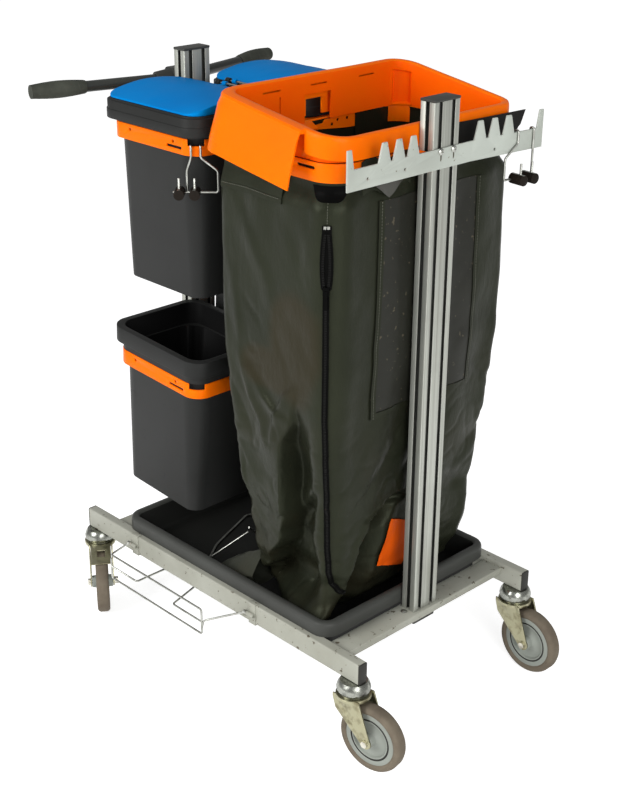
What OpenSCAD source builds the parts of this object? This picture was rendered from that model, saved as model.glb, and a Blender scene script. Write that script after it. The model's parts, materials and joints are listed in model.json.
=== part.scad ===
// Janitor cart with four buckets, a hanging bag and a wheeled frame.
// Lengths are millimetres. X runs to the front, Y to the left, Z up from the floor.

/* [Frame] */
// Length of each side rail
rail_len = 764; // [740:2:900]
// Width over the outer faces of the side rails
frame_w = 458; // [450:2:540]
// Width of the rail tube
rail_w = 20; // [18:1:26]
// Height of the rail tube
rail_h = 40; // [36:1:50]
// Wall of the rail tube
rail_wall = 2; // [1.5:0.25:3]
// Size of each cross member along the cart
cross_len = 45; // [40:1:56]
// Thickness of each cross member
cross_t = 14; // [10:1:18]
// Drop of the cross members below the rail tops
cross_drop = 8; // [4:1:12]
// Distance from the front rail ends to the front post
front_inset = 70; // [62:1:80]
// Distance from the rear rail ends to the rear post
rear_inset = 89; // [80:1:98]

/* [Posts] */
// Width of the post profile across the cart
post_w = 60; // [56:1:62]
// Depth of the post profile along the cart
post_d = 30; // [28:1:34]
// Length of the posts
post_len = 913; // [900:1:1000]
// Mouth width of the post slots
slot_w = 8; // [6:0.5:9]
// Depth of the post slots
slot_depth = 7.5; // [6:0.25:8]
// Inner width of the post slots
slot_inner = 13; // [11:0.5:13.5]
// Thickness of the slot lips
slot_lip = 2; // [1.5:0.25:3]
// Thickness of the post caps
cap_t = 4; // [3:0.5:8]
// Height of the foot blocks under the posts
foot_h = 12; // [8:1:18]

/* [Casters] */
// Wheel diameter
wheel_d = 125; // [110:1:140]
// Tyre width
tyre_w = 25; // [20:1:28]
// Tyre thickness
tyre_t = 13.25; // [10:0.25:16]
// Axle bolt diameter
axle_d = 8; // [6:0.5:10]
// Offset of the wheel behind the swivel axis
trail = 43; // [38:1:46]
// Distance from the rail end to the swivel axis
swivel_inset = 19; // [16:1:26]
// Gap between the wheel and the fork crown
crown_gap = 6; // [5:0.5:12]
// Thickness of the fork crown
crown_t = 6.5; // [5:0.5:9]
// Height of the chrome swivel heads
head_h = 25; // [22:1:34]
// Thickness of the fork legs
leg_t = 3; // [2:0.5:4]
// Distance between the fork legs
leg_gap = 42; // [40:1:46]
// Kingpin diameter
kingpin_d = 12; // [10:0.5:14]
// Heading of the front right caster
turn_front_right = 8; // [-20:1:20]
// Heading of the two rear casters
turn_rear = -35; // [-60:1:-20]

/* [Tray] */
// Height of the tray rim above the rails
tray_rim_h = 27; // [20:1:34]
// Width of the tray rim on each side
tray_rim_w = 17; // [15:1:22]
// Depth of the tray below the rail tops
tray_depth = 33; // [28:1:38]
// Lap of the tray rim over each rail
tray_lap = 9; // [6:0.5:12]
// Gap from the tray rim to each post
tray_gap = 4; // [3:0.5:8]
// Wall of the tray
tray_wall = 3; // [2:0.25:4]

/* [Buckets] */
// Bucket rim length along the cart
bucket_len = 252; // [236:2:262]
// Bucket rim width across the cart
bucket_w = 208; // [196:2:214]
// Bucket height
bucket_h = 318; // [280:2:326]
// Height of the bucket rim
bucket_rim_h = 30; // [24:1:36]
// Height of the neck between ring and rim in the upper row
upper_neck = 5; // [4:0.5:10]
// Height of the neck between ring and rim in the lower row
lower_neck = 17; // [12:1:24]
// Overhang of the bucket rim outside the neck
rim_out = 10; // [8:0.5:11]
// Taper of the bucket on each end
bucket_taper = 11; // [6:0.5:16]
// Wall of the buckets
bucket_wall = 3; // [2:0.25:4]
// Distance between the two buckets of a row
bucket_gap = 34; // [32:1:60]
// Height of the bucket rings
ring_h = 28; // [24:1:34]
// Wall of the bucket rings
ring_wall = 4; // [3:0.25:5]
// Upper bucket rings below the top of the posts
upper_ring_drop = 92; // [78:1:113]
// Ring top of the lower row above the post base
lower_ring = 391; // [360:1:400]
// Gap from the post to the upper rings
upper_reach = 17; // [15:1:30]
// Gap from the post to the lower rings
lower_reach = 2; // [2:0.5:20]
// Sag of the lower row in degrees
sag = 3.5; // [0:0.25:4]
// Rise of the vaulted lids
lid_rise = 15; // [8:0.5:16]
// Thickness of the lids
lid_t = 3; // [2:0.25:4]

/* [Bag holder] */
// Space between the upper buckets' rings and the bag ring
bag_space = 56; // [50:1:80]
// Width of the bag ring across the cart
bag_ring_w = 414; // [380:2:420]
// Height of the bag ring
bag_ring_h = 30; // [24:1:36]
// Bag ring below the top of the posts
bag_ring_drop = 77; // [63:1:113]
// Gap from the bag ring to the front post
bag_ring_gap = 8; // [8:0.5:20]
// Wall of the bag
bag_wall = 2; // [1.5:0.25:3]
// Height of the collar at the front
collar_low = 32; // [28:1:44]
// Height of the collar at the rear
collar_high = 72; // [60:1:90]
// Lift of the collar above the bag ring
collar_lift = 9; // [6:0.5:14]
// Width of the collar lip
collar_lip = 16; // [12:1:20]
// Reach of the apron's top edge past the collar
apron_out = 18; // [14:1:24]
// Drop of the apron
apron_drop = 90; // [70:1:110]

/* [Handle] */
// Handle hub below the top of the posts
handle_drop = 57; // [43:1:93]
// Sweep of the handle bars in degrees
handle_sweep = 14; // [5:0.5:20]
// Length of each handle bar from the post centre line
handle_reach = 293; // [280:1:330]
// Handle bar diameter
bar_d = 20; // [18:0.5:22]
// Length of the grips
grip_len = 103; // [90:1:130]
// Largest diameter of the grips
grip_d = 31; // [29:0.5:36]
// Depth of the handle hub behind the post
hub_d = 38; // [38:1:50]

/* [Hook rack] */
// Half length of the hook rack
rack_half = 222; // [216:1:240]
// Thickness of the hook rack
rack_t = 3; // [2:0.25:4]
// Height of the hook rack plate
rack_h = 33; // [30:1:40]
// Height of the hook teeth
tooth_h = 30; // [22:1:34]
// Foot of the hook rack below the top of the posts
rack_drop = 105; // [101:1:133]
// Spacing of the hook teeth
tooth_pitch = 32; // [30:0.5:34]
// Distance from the centre to the middle tooth of a group
tooth_mid = 110; // [106:1:114]
// Forward bend of the left half in degrees
rack_bend = 5.5; // [0:0.5:6]
// Diameter of the two spare holes in the rack
rack_hole_d = 5; // [4:0.25:6]
// Spacing of the two spare holes in the rack
rack_hole_pitch = 82; // [76:1:84]

/* [Wire parts] */
// Wire diameter
wire_d = 4; // [3:0.25:4.5]
// Length of the side rack
side_rack_len = 270; // [240:2:280]
// Reach of the side rack outside the rail
side_rack_out = 50; // [40:1:50]
// Distance between the side rack clips
clip_pitch = 344; // [330:2:360]
// Drop of the wire tool holders
holder_drop = 76; // [60:1:100]
// Radial clearance of the turning fits
fit = 0.05; // [0.03:0.01:0.08]

/* [Hidden] */
$fn = 48;
caster_h = wheel_d + crown_gap + crown_t + 0.5 + head_h;
rail_top = caster_h + rail_h;
rail_in = frame_w / 2 - rail_w;
base = rail_top - cross_drop;
post_top = base + post_len;
upper_ring = post_len - upper_ring_drop;
handle_z = post_len - handle_drop;
rack_z = post_len - rack_drop;
front_x = rail_len / 2 - front_inset;
rear_x = rear_inset - rail_len / 2;
front_face = front_x - post_d / 2;
rear_face = rear_x + post_d / 2;
slot_y = post_w / 4;
wheel_r = wheel_d / 2;
rim_r = wheel_r - tyre_t;
swivel_x = rail_len / 2 - swivel_inset;
swivel_y = frame_w / 2 - rail_w / 2;
crown_z = wheel_d + crown_gap;
crown_top = crown_z + crown_t;
tray_x0 = rear_face + tray_gap;
tray_x1 = front_face - tray_gap;
tray_len = tray_x1 - tray_x0;
tray_w = 2 * (rail_in + tray_lap);
tray_mid = (tray_x0 + tray_x1) / 2;
ring_len = bucket_len - 2 * rim_out + 2;
ring_w = bucket_w - 2 * rim_out + 2;
upper_x = rear_face + upper_reach + ring_len / 2;
lower_x = rear_face + lower_reach + ring_len / 2;
row_y = (bucket_w + bucket_gap) / 2;
frame_out = 4.5;
frame_top = bucket_h + 5;
hinge_y = bucket_w / 2 + 5;
hinge_z = frame_top + 5;
pin_d = 4;
lid_len = bucket_len - 8;
lid_w = bucket_w - 8;
lid_base = frame_top + 0.3;
lid_r = (lid_w * lid_w / 4 + lid_rise * lid_rise) / (2 * lid_rise);
bag_x1 = front_face - bag_ring_gap;
bag_ring_len = bag_x1 - upper_x - ring_len / 2 - bag_space;
bag_mid = bag_x1 - bag_ring_len / 2;
bag_r = 50;
bag_top = post_top - bag_ring_drop;
hem = bag_wall + 0.3;
bag_low = rail_top - tray_depth + tray_wall + 0.3;
collar_len = bag_ring_len - 8;
collar_r = [26, 40, 30, 50];
apron_start = 8;
apron_cut = 60;
apron_flare = 25;
collar_w = bag_ring_w + 4;
collar_mid = bag_x1 - collar_len / 2;
pitch = atan((collar_high - collar_low) / collar_len);
slope_len = collar_len / cos(pitch);
hub_x = rear_x - post_d / 2 - hub_d / 2;
grip_end_r = 12.3;
grip_start = handle_reach - grip_len;
rack_x = front_x + post_d / 2;
wire_r = wire_d / 2;
rack_valley = base + rack_z + rack_h;
bend_y = 58;
clip_x = -56;
clip_y = -frame_w / 2 - 5.5;
clip_z = rail_top - 20;
x_front = swivel_x + trail + wheel_r;
x_rear = hub_x - handle_reach * sin(handle_sweep) - grip_end_r * cos(handle_sweep);
mid_x = (x_front + x_rear) / 2;

orange = [0.95, 0.45, 0.05];
blue = [0.05, 0.4, 0.75];
dark_grey = [0.28, 0.28, 0.28];
light_grey = [0.75, 0.75, 0.73];
steel = [0.8, 0.8, 0.8];
zinc = [0.75, 0.72, 0.6];
black = [0.08, 0.08, 0.08];
vinyl = [0.22, 0.23, 0.2];

// Moves the cart so the middle of its length lies at the origin
module place() {
    translate([-mid_x, 0, 0]) children();
}

module rounded(l, w, r) {
    square([l - 2 * r, w], center = true);
    square([l, w - 2 * r], center = true);
    for (sx = [-1, 1], sy = [-1, 1])
        translate([sx * (l / 2 - r), sy * (w / 2 - r)]) circle(r);
}

// Rectangle with its own radius at each corner, counted from front left
module rounded_each(l, w, r) {
    x = l / 2;
    y = w / 2;
    polygon([[x, y - r[0]], [x - r[0], y], [r[1] - x, y], [-x, y - r[1]],
        [-x, r[2] - y], [r[2] - x, -y], [x - r[3], -y], [x, r[3] - y]]);
    translate([x - r[0], y - r[0]]) circle(r[0]);
    translate([r[1] - x, y - r[1]]) circle(r[1]);
    translate([r[2] - x, r[2] - y]) circle(r[2]);
    translate([x - r[3], r[3] - y]) circle(r[3]);
}

module slab(l, w, r, h) {
    linear_extrude(h) rounded(l, w, r);
}

module band(l, w, r, t, h) {
    linear_extrude(h) difference() {
        rounded(l, w, r);
        rounded(l - 2 * t, w - 2 * t, r - t);
    }
}

module box(x0, x1, y0, y1, z0, z1) {
    translate([x0, y0, z0]) cube([x1 - x0, y1 - y0, z1 - z0]);
}

function unit(v) = v / norm(v);

// Point where a line from p touches the circle round c
function tangent(p, c, r, s) =
    let (d = norm(c - p), a = atan2(c[1] - p[1], c[0] - p[0]) + s * asin(r / d))
    p + sqrt(d * d - r * r) * [cos(a), sin(a)];

function bends(p, r) = [for (i = [0 : len(p) - 1]) each
    (i == 0 || i == len(p) - 1) ? [p[i]] :
    let (a = p[i] + r * unit(p[i - 1] - p[i]), b = p[i] + r * unit(p[i + 1] - p[i]))
    [for (t = [0 : 0.25 : 1]) (1 - t) * (1 - t) * a + 2 * t * (1 - t) * p[i] + t * t * b]];

function corner_ring(cx, hx, hy, r, z) = [for (c = [0 : 3], k = [0 : 6])
    let (a = 90 * c + 15 * k, sx = (c == 0 || c == 3) ? 1 : -1, sy = c < 2 ? 1 : -1)
    [cx + sx * (hx - r[c]) + r[c] * cos(a), sy * (hy - r[c]) + r[c] * sin(a), z]];

// Closed skin over a row of rings with equal point counts
module skin(rings) {
    s = len(rings[0]);
    n = len(rings);
    polyhedron([for (ring = rings, p = ring) p], concat(
        [[for (k = [0 : s - 1]) k]],
        [for (i = [0 : n - 2], k = [0 : s - 1])
            [(i + 1) * s + k, (i + 1) * s + (k + 1) % s, i * s + (k + 1) % s, i * s + k]],
        [[for (k = [s - 1 : -1 : 0]) (n - 1) * s + k]]));
}

module wire(p, bend) {
    q = bends(p, bend);
    n = len(q);
    t = [for (i = [0 : n - 1]) unit(q[min(i + 1, n - 1)] - q[max(i - 1, 0)])];
    skin([for (i = [0 : n - 1])
        let (u = unit(cross(t[i], [0.31, 0.52, 0.79])), v = cross(t[i], u))
        [for (a = [0 : 45 : 315]) q[i] + wire_r * (cos(a) * u + sin(a) * v)]]);
}

// Button head screw with its head pointing along X
module button(shank) {
    rotate([0, 90, 0]) difference() {
        union() {
            cylinder(r = 5.5, h = 1.6);
            translate([0, 0, 1.6]) cylinder(r1 = 5.5, r2 = 3.6, h = 1.6);
            translate([0, 0, -shank]) cylinder(r = 2.9, h = shank + 1);
        }
        translate([0, 0, 1.4]) cylinder(r = 2, h = 3, $fn = 6);
    }
}

module rail(y) {
    translate([0, y, rail_top - rail_h / 2]) rotate([90, 0, 90])
        translate([0, 0, -rail_len / 2]) linear_extrude(rail_len) difference() {
            rounded(rail_w, rail_h, 3);
            rounded(rail_w - 2 * rail_wall, rail_h - 2 * rail_wall, 1);
        }
}

module side_rail_right() color(light_grey) place() rail(-swivel_y);

module side_rail_left() color(light_grey) place() rail(swivel_y);

module cross_member(x) {
    box(x - cross_len / 2, x + cross_len / 2, -rail_in, rail_in, base - cross_t, base);
}

module cross_member_front() color(light_grey) place() cross_member(front_x);

module cross_member_rear() color(light_grey) place() cross_member(rear_x);

module rail_end_plugs() color(black) place()
    for (sx = [-1, 1], sy = [-1, 1])
        translate([sx * rail_len / 2, sy * swivel_y, rail_top - rail_h / 2])
            rotate([90, 0, sx * 90]) {
                slab(rail_w, rail_h, 3, 2);
                translate([0, 0, -10])
                    slab(rail_w - 2 * rail_wall - 0.2, rail_h - 2 * rail_wall - 0.2, 1, 11);
            }

module slot() {
    translate([-slot_lip - 0.5, -slot_w / 2]) square([slot_lip + 1, slot_w]);
    translate([-slot_depth, -slot_inner / 2]) square([slot_depth - slot_lip, slot_inner]);
}

module post(x) {
    translate([x, 0, base]) linear_extrude(post_len) difference() {
        rounded(post_d, post_w, 1.5);
        for (a = [0, 180], sy = [-1, 1])
            rotate(a) translate([post_d / 2, sy * slot_y]) slot();
        for (a = [90, 270])
            rotate(a) translate([post_w / 2, 0]) slot();
    }
}

module post_front() color(steel) place() post(front_x);

module post_rear() color(steel) place() post(rear_x);

module post_caps() color(black) place()
    for (x = [front_x, rear_x])
        translate([x, 0, base + post_len]) slab(post_d + 1.6, post_w + 1.6, 2, cap_t);

module post_feet() color(black) place()
    for (x = [front_x, rear_x])
        translate([x, 0, base - cross_t - foot_h]) slab(post_d - 2, post_w - 4, 3, foot_h);

module post_screws() color(steel) place()
    for (x = [front_x, rear_x], sy = [-1, 1])
        translate([x, sy * (post_w / 2 + 10), base]) rotate([0, -90, 0]) button(0);

// Swivel heads with kingpins
module caster_heads() color(steel) place()
    for (sx = [-1, 1], sy = [-1, 1])
        translate([sx * swivel_x, sy * swivel_y, crown_z]) rotate_extrude() polygon([
            [0, crown_t + 0.5 + head_h], [24, crown_t + 0.5 + head_h], [28, crown_t + 19],
            [30, crown_t + 12], [29, crown_t + 6], [27, crown_t + 4], [27, crown_t + 0.5],
            [kingpin_d / 2, crown_t + 0.5], [kingpin_d / 2, -0.3], [kingpin_d / 2 + 4, -0.3],
            [kingpin_d / 2 + 4, -2], [kingpin_d / 2 + 2, -3], [0, -3]]);

module leg_shape() {
    hub = [trail, wheel_r];
    front = [27, crown_top];
    back = [-21, crown_z - 21];
    polygon([[-27, crown_top], front, tangent(front, hub, 10, 1), hub,
        tangent(back, hub, 10, -1), back, [-27, crown_z]]);
    translate(hub) circle(11);
}

module fork(hood) {
    difference() {
        union() {
            translate([0, 0, crown_z]) cylinder(r = 31, h = crown_t);
            for (sy = [-1, 1])
                translate([0, sy * (leg_gap + leg_t) / 2 + leg_t / 2, 0])
                    rotate([90, 0, 0]) linear_extrude(leg_t) leg_shape();
            box(-22, 22, -leg_gap / 2 - 1, leg_gap / 2 + 1, crown_z, crown_top);
            if (hood)
                translate([0, 20, 0]) rotate([90, 0, 0]) linear_extrude(40)
                    polygon([[20, crown_top - 3], [31, crown_top - 3],
                        [trail + 32, crown_z - 12.5], [trail + 33, crown_z - 10.4],
                        [31, crown_top - 0.6], [20, crown_top - 0.6]]);
        }
        translate([0, 0, crown_z - 1]) cylinder(d = kingpin_d + 2 * fit, h = crown_t + 2);
        translate([trail, 40, wheel_r]) rotate([90, 0, 0])
            cylinder(d = axle_d + 2 * fit, h = 80);
        if (hood)
            box(trail - 1, trail + 15, -8, 8, crown_z - 15, crown_top + 5);
    }
}

module axle() {
    half = leg_gap / 2 + leg_t;
    translate([trail, 0, wheel_r]) rotate([90, 0, 0]) {
        translate([0, 0, -half - 8]) cylinder(d = axle_d, h = 2 * half + 13);
        translate([0, 0, half]) cylinder(r = 6.6, h = 5, $fn = 6);
        translate([0, 0, -half - 1.5]) cylinder(r = 8, h = 1.5);
        translate([0, 0, -half - 7.5]) cylinder(r = 7.2, h = 6, $fn = 6);
    }
}

module rim() {
    hub = leg_gap / 2 - 0.5;
    side = tyre_w / 2 - 2;
    half = [[axle_d / 2 + fit, hub], [12, hub], [13, side - 2], [21, 5], [33, 5], [35, side],
        [37, side], [37.5, side - 1.5], [39.5, side - 1.5], [40, side], [rim_r, side]];
    translate([trail, 0, wheel_r]) rotate([90, 0, 0]) rotate_extrude()
        polygon(concat(half, [for (i = [len(half) - 1 : -1 : 0]) [half[i][0], -half[i][1]]]));
}

module tyre() {
    half = tyre_w / 2;
    translate([trail, 0, wheel_r]) rotate([90, 0, 0]) rotate_extrude()
        polygon([[rim_r + fit, half - 2], [rim_r + 3, half], [wheel_r - 5, half],
            [wheel_r - 1.5, half - 2.5], [wheel_r, half - 6], [wheel_r, 6 - half],
            [wheel_r - 1.5, 2.5 - half], [wheel_r - 5, -half], [rim_r + 3, -half],
            [rim_r + fit, 2 - half]]);
}

module at_caster(sx, sy, turn) {
    translate([sx * swivel_x, sy * swivel_y, 0]) rotate([0, 0, turn]) children();
}

module fork_front_right() color(zinc) place() at_caster(1, -1, turn_front_right) fork(false);
module axle_front_right() color(steel) place() at_caster(1, -1, turn_front_right) axle();
module rim_front_right() color(light_grey) place() at_caster(1, -1, turn_front_right) rim();
module tyre_front_right() color(dark_grey) place() at_caster(1, -1, turn_front_right) tyre();
module fork_front_left() color(zinc) place() at_caster(1, 1, 0) fork(false);
module axle_front_left() color(steel) place() at_caster(1, 1, 0) axle();
module rim_front_left() color(light_grey) place() at_caster(1, 1, 0) rim();
module tyre_front_left() color(dark_grey) place() at_caster(1, 1, 0) tyre();
module fork_rear_right() color(zinc) place() at_caster(-1, -1, turn_rear) fork(true);
module axle_rear_right() color(steel) place() at_caster(-1, -1, turn_rear) axle();
module rim_rear_right() color(light_grey) place() at_caster(-1, -1, turn_rear) rim();
module tyre_rear_right() color(dark_grey) place() at_caster(-1, -1, turn_rear) tyre();
module fork_rear_left() color(zinc) place() at_caster(-1, 1, turn_rear) fork(true);
module axle_rear_left() color(steel) place() at_caster(-1, 1, turn_rear) axle();
module rim_rear_left() color(light_grey) place() at_caster(-1, 1, turn_rear) rim();
module tyre_rear_left() color(dark_grey) place() at_caster(-1, 1, turn_rear) tyre();

module handle_hub() color(dark_grey) place()
    translate([hub_x, 0, base + handle_z]) difference() {
        union() {
            rotate([0, 90, 0]) translate([0, 0, -hub_d / 2]) slab(38, 46, 6, hub_d);
            for (sy = [-1, 1])
                rotate([-90 * sy, 0, handle_sweep * sy]) {
                    cylinder(r = 17, h = 30);
                    translate([0, 0, 30]) cylinder(r1 = 17, r2 = 14, h = 22);
                }
        }
        for (sy = [-1, 1])
            rotate([-90 * sy, 0, handle_sweep * sy]) translate([0, 0, 24])
                cylinder(d = bar_d + 2 * fit, h = 40);
        box(hub_d / 2, 40, -50, 50, -50, 50);
    }

module handle_bars() color(dark_grey) place()
    for (sy = [-1, 1])
        translate([hub_x, 0, base + handle_z])
            rotate([-90 * sy, 0, handle_sweep * sy])
                translate([0, 0, 24.2]) cylinder(d = bar_d, h = handle_reach - 28);

module handle_grips() color(black) place()
    for (sy = [-1, 1])
        translate([hub_x, 0, base + handle_z])
            rotate([-90 * sy, 0, handle_sweep * sy]) translate([0, 0, grip_start])
                difference() {
                    rotate_extrude() polygon(concat([[0, 0], [11.5, 0]],
                        [for (k = [0 : 8]) [grip_end_r + (grip_d / 2 - grip_end_r) *
                            sin(22.5 * k), 3 + (grip_len - 5) * k / 8]],
                        [[grip_end_r, grip_len], [0, grip_len]]));
                    translate([0, 0, -1]) cylinder(d = bar_d + 2 * fit, h = grip_len - 2.5);
                }

// Bucket ring in its own frame with the ring top at height zero
module bucket_ring_band() {
    difference() {
        translate([0, 0, -ring_h]) band(ring_len, ring_w, 32, ring_wall, ring_h);
        for (sx = [-1, 1])
            translate([sx * ring_len / 4, -ring_w, -9]) rotate([-90, 0, 0])
                cylinder(r = 3, h = 2 * ring_w);
        box(ring_len / 2 - 76, ring_len / 2 - 36, -ring_w, 40 - ring_w / 2, -20, -15);
        translate([ring_len / 2 - 32, 32 - ring_w / 2, 0]) rotate([0, 0, -45])
            box(20, 40, -14, 14, -11, 2);
    }
}

module at_row(x, z, tilt) {
    translate([rear_face, 0, z]) rotate([0, tilt, 0]) translate([x - rear_face, -row_y, 0])
        children();
}

module bucket_ring(x, z, tilt) {
    inner = ring_w / 2 - row_y;
    at_row(x, z, tilt) bucket_ring_band();
    translate([rear_face, 0, z]) rotate([0, tilt, 0]) {
        box(1 + ring_h * sin(tilt), x - rear_face - ring_len / 2 + 46, inner - 4, inner, -ring_h, 0);
    }
    difference() {
        box(rear_face, rear_face + 4, inner - 8, -1, z - ring_h, z);
        translate([rear_face - 1, -slot_y, z - ring_h / 2]) rotate([0, 90, 0])
            cylinder(r = 3, h = 9);
    }
}

module bucket_ring_upper_right() color(orange) place()
    bucket_ring(upper_x, base + upper_ring, 0);

module bucket_ring_upper_left() color(orange) place() mirror([0, 1, 0])
    bucket_ring(upper_x, base + upper_ring, 0);

module bucket_ring_lower_right() color(orange) place()
    bucket_ring(lower_x, base + lower_ring, sag);

module bucket_ring_lower_left() color(orange) place() mirror([0, 1, 0])
    bucket_ring(lower_x, base + lower_ring, sag);

module ring_screws() color(steel) place() {
    for (z = [upper_ring, lower_ring], sy = [-1, 1])
        translate([rear_face + 4, sy * slot_y, base + z - ring_h / 2]) button(9);
    for (sy = [-1, 1])
        translate([front_x, sy * (post_w / 2 + 5), bag_top - bag_ring_h / 2])
            rotate([0, 0, 90 * sy]) button(10);
}

function seat(neck) = bucket_h - bucket_rim_h - neck;

// Bucket in its own frame with its floor at height zero
module bucket(neck) {
    seat = seat(neck);
    top_l = ring_len - 11;
    top_w = ring_w - 11;
    low_l = top_l - 2 * bucket_taper;
    low_w = top_w - 1.4 * bucket_taper;
    difference() {
        union() {
            hull() {
                slab(low_l, low_w, 24, 1, $fn = 32);
                translate([0, 0, seat]) slab(top_l, top_w, 40, 1, $fn = 32);
            }
            translate([0, 0, seat]) slab(ring_len - 2, ring_w - 2, 31, neck + 1);
            translate([0, 0, seat + neck]) slab(bucket_len, bucket_w, 35, bucket_rim_h);
        }
        hull() {
            translate([0, 0, bucket_wall])
                slab(low_l - 2 * bucket_wall, low_w - 2 * bucket_wall, 22, 1, $fn = 32);
            translate([0, 0, seat + 2])
                slab(top_l - 2 * bucket_wall, top_w - 2 * bucket_wall, 37, 1, $fn = 32);
        }
        translate([0, 0, seat + 3]) slab(ring_len - 9, ring_w - 9, 28, neck + bucket_rim_h);
        translate([0, 0, seat + neck - 1])
            band(bucket_len - 5, bucket_w - 5, 32.5, 4, bucket_rim_h - 2.5);
    }
}

module at_upper() {
    at_row(upper_x, base + upper_ring, 0) translate([0, 0, -seat(upper_neck)]) children();
}

module at_lower() {
    at_row(lower_x, base + lower_ring, sag) translate([0, 0, -seat(lower_neck)]) children();
}

module bucket_upper_right() color(dark_grey) place() at_upper() bucket(upper_neck);
module bucket_upper_left() color(dark_grey) place() mirror([0, 1, 0]) at_upper() bucket(upper_neck);
module bucket_lower_right() color(dark_grey) place() at_lower() bucket(lower_neck);
module bucket_lower_left() color(dark_grey) place() mirror([0, 1, 0]) at_lower() bucket(lower_neck);

module lid_frame() {
    l = bucket_len + 2 * frame_out;
    w = bucket_w + 2 * frame_out;
    difference() {
        union() {
            translate([0, 0, bucket_h - 29]) slab(l, w, 39, 16);
            translate([0, 0, bucket_h - 14]) slab(l - 3, w - 3, 37.5, 16);
            slab(l - 11, w - 11, 34, frame_top);
            for (x = [-60, 60])
                translate([x - 5, hinge_y, hinge_z]) rotate([90, 0, 90]) linear_extrude(10) {
                    circle(5);
                    translate([-5, -11]) square([10, 11]);
                }
        }
        translate([0, 0, -1]) slab(bucket_len + 0.6, bucket_w + 0.6, 35.3, bucket_h + 1);
        slab(bucket_len - 36, bucket_w - 36, 22, frame_top + 1);
        translate([-80, hinge_y, hinge_z]) rotate([0, 90, 0])
            cylinder(d = pin_d + 2 * fit, h = 160);
    }
}

module lid_pin() {
    translate([-66, hinge_y, hinge_z]) rotate([0, 90, 0]) {
        cylinder(d = pin_d, h = 132);
        translate([0, 0, -1.5]) cylinder(r = 3.2, h = 1.5);
        translate([0, 0, 132]) cylinder(r = 3.2, h = 1.5);
    }
}

// Vaulted lid hinged on its inner long side
module lid() {
    rise = lid_base + lid_t + lid_rise - lid_r;
    difference() {
        union() {
            intersection() {
                translate([0, 0, lid_base]) slab(lid_len, lid_w, 28, lid_rise + lid_t + 1);
                translate([-lid_len, 0, rise]) rotate([0, 90, 0])
                    cylinder(r = lid_r, h = 2 * lid_len, $fn = 96);
            }
            for (x = [-48, 38])
                translate([x, hinge_y, hinge_z]) rotate([90, 0, 90]) linear_extrude(10) {
                    circle(4.4);
                    translate([-14, -4]) square([14, 3.5]);
                }
        }
        intersection() {
            translate([0, 0, lid_base - 1])
                slab(lid_len - 6, lid_w - 6, 25, lid_rise + lid_t);
            translate([-lid_len, 0, rise]) rotate([0, 90, 0])
                cylinder(r = lid_r - lid_t, h = 2 * lid_len, $fn = 96);
        }
        translate([-80, hinge_y, hinge_z]) rotate([0, 90, 0])
            cylinder(d = pin_d + 2 * fit, h = 160);
    }
}

module lid_frame_right() color(dark_grey) place() at_upper() lid_frame();
module lid_frame_left() color(dark_grey) place() mirror([0, 1, 0]) at_upper() lid_frame();
module lid_pin_right() color(steel) place() at_upper() lid_pin();
module lid_pin_left() color(steel) place() mirror([0, 1, 0]) at_upper() lid_pin();
module lid_right() color(blue) place() at_upper() lid();
module lid_left() color(blue) place() mirror([0, 1, 0]) at_upper() lid();

module base_tray() color(dark_grey) place() translate([tray_mid, 0, rail_top])
    difference() {
        inner_l = tray_len - 2 * tray_rim_w;
        inner_w = tray_w - 2 * tray_rim_w;
        union() {
            slab(tray_len, tray_w, 32, tray_rim_h);
            translate([0, 0, -tray_depth])
                slab(inner_l + 2 * tray_wall, inner_w + 2 * tray_wall, 22, tray_depth + 1);
        }
        translate([0, 0, tray_wall - tray_depth])
            slab(inner_l, inner_w, 19, tray_depth + tray_rim_h);
        translate([0, 0, -1]) linear_extrude(tray_rim_h - 2) difference() {
            rounded(tray_len - 6, tray_w - 6, 29);
            rounded(inner_l + 2 * tray_wall, inner_w + 2 * tray_wall, 22);
        }
    }

// Bent wire stand lying in the tray
module tray_wire_stand() color(steel) place() {
    z = rail_top - tray_depth + tray_wall + wire_r + 0.3;
    translate([tray_mid, 0, z]) wire([[-60, -90, 55], [-108, -150, 0], [-140, -104, 0],
        [-190, 20, 0], [-150, 62, 0], [-104, -20, 0], [-72, -78, 55]], 8);
}

module bag_ring() color(orange) place() {
    difference() {
        translate([bag_mid, 0, bag_top - bag_ring_h])
            band(bag_ring_len, bag_ring_w, bag_r, 4, bag_ring_h);
        for (sy = [-1, 1])
            translate([bag_x1 - 64, sy * bag_ring_w / 2, bag_top - 9]) rotate([90, 0, 0])
                translate([0, 0, -20]) slab(40, 5, 2.4, 40);
        for (sy = [-1, 1], k = [0 : 2])
            translate([bag_mid - 30 + 14 * k, sy * bag_ring_w / 2, bag_top - 10])
                rotate([90, 0, 0]) translate([0, 0, -20]) cylinder(r = 2.5, h = 40);
    }
    difference() {
        union() {
            box(bag_x1 - 3, front_face, -24, 24, bag_top - bag_ring_h, bag_top);
            for (sy = [-1, 1])
                translate([0, sy * (post_w / 2 + 2.65), 0])
                    box(bag_x1 - 3, front_x + 10, -2.35, 2.35, bag_top - bag_ring_h, bag_top);
        }
        translate([front_x, 60, bag_top - bag_ring_h / 2]) rotate([90, 0, 0])
            cylinder(r = 3, h = 120);
    }
    for (sy = [-1, 1])
        box(bag_x1 - 3, bag_x1 + 4, min(sy * 22, sy * (post_w / 2 + 5)),
            max(sy * 22, sy * (post_w / 2 + 5)), bag_top - bag_ring_h, bag_top);
}

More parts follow.
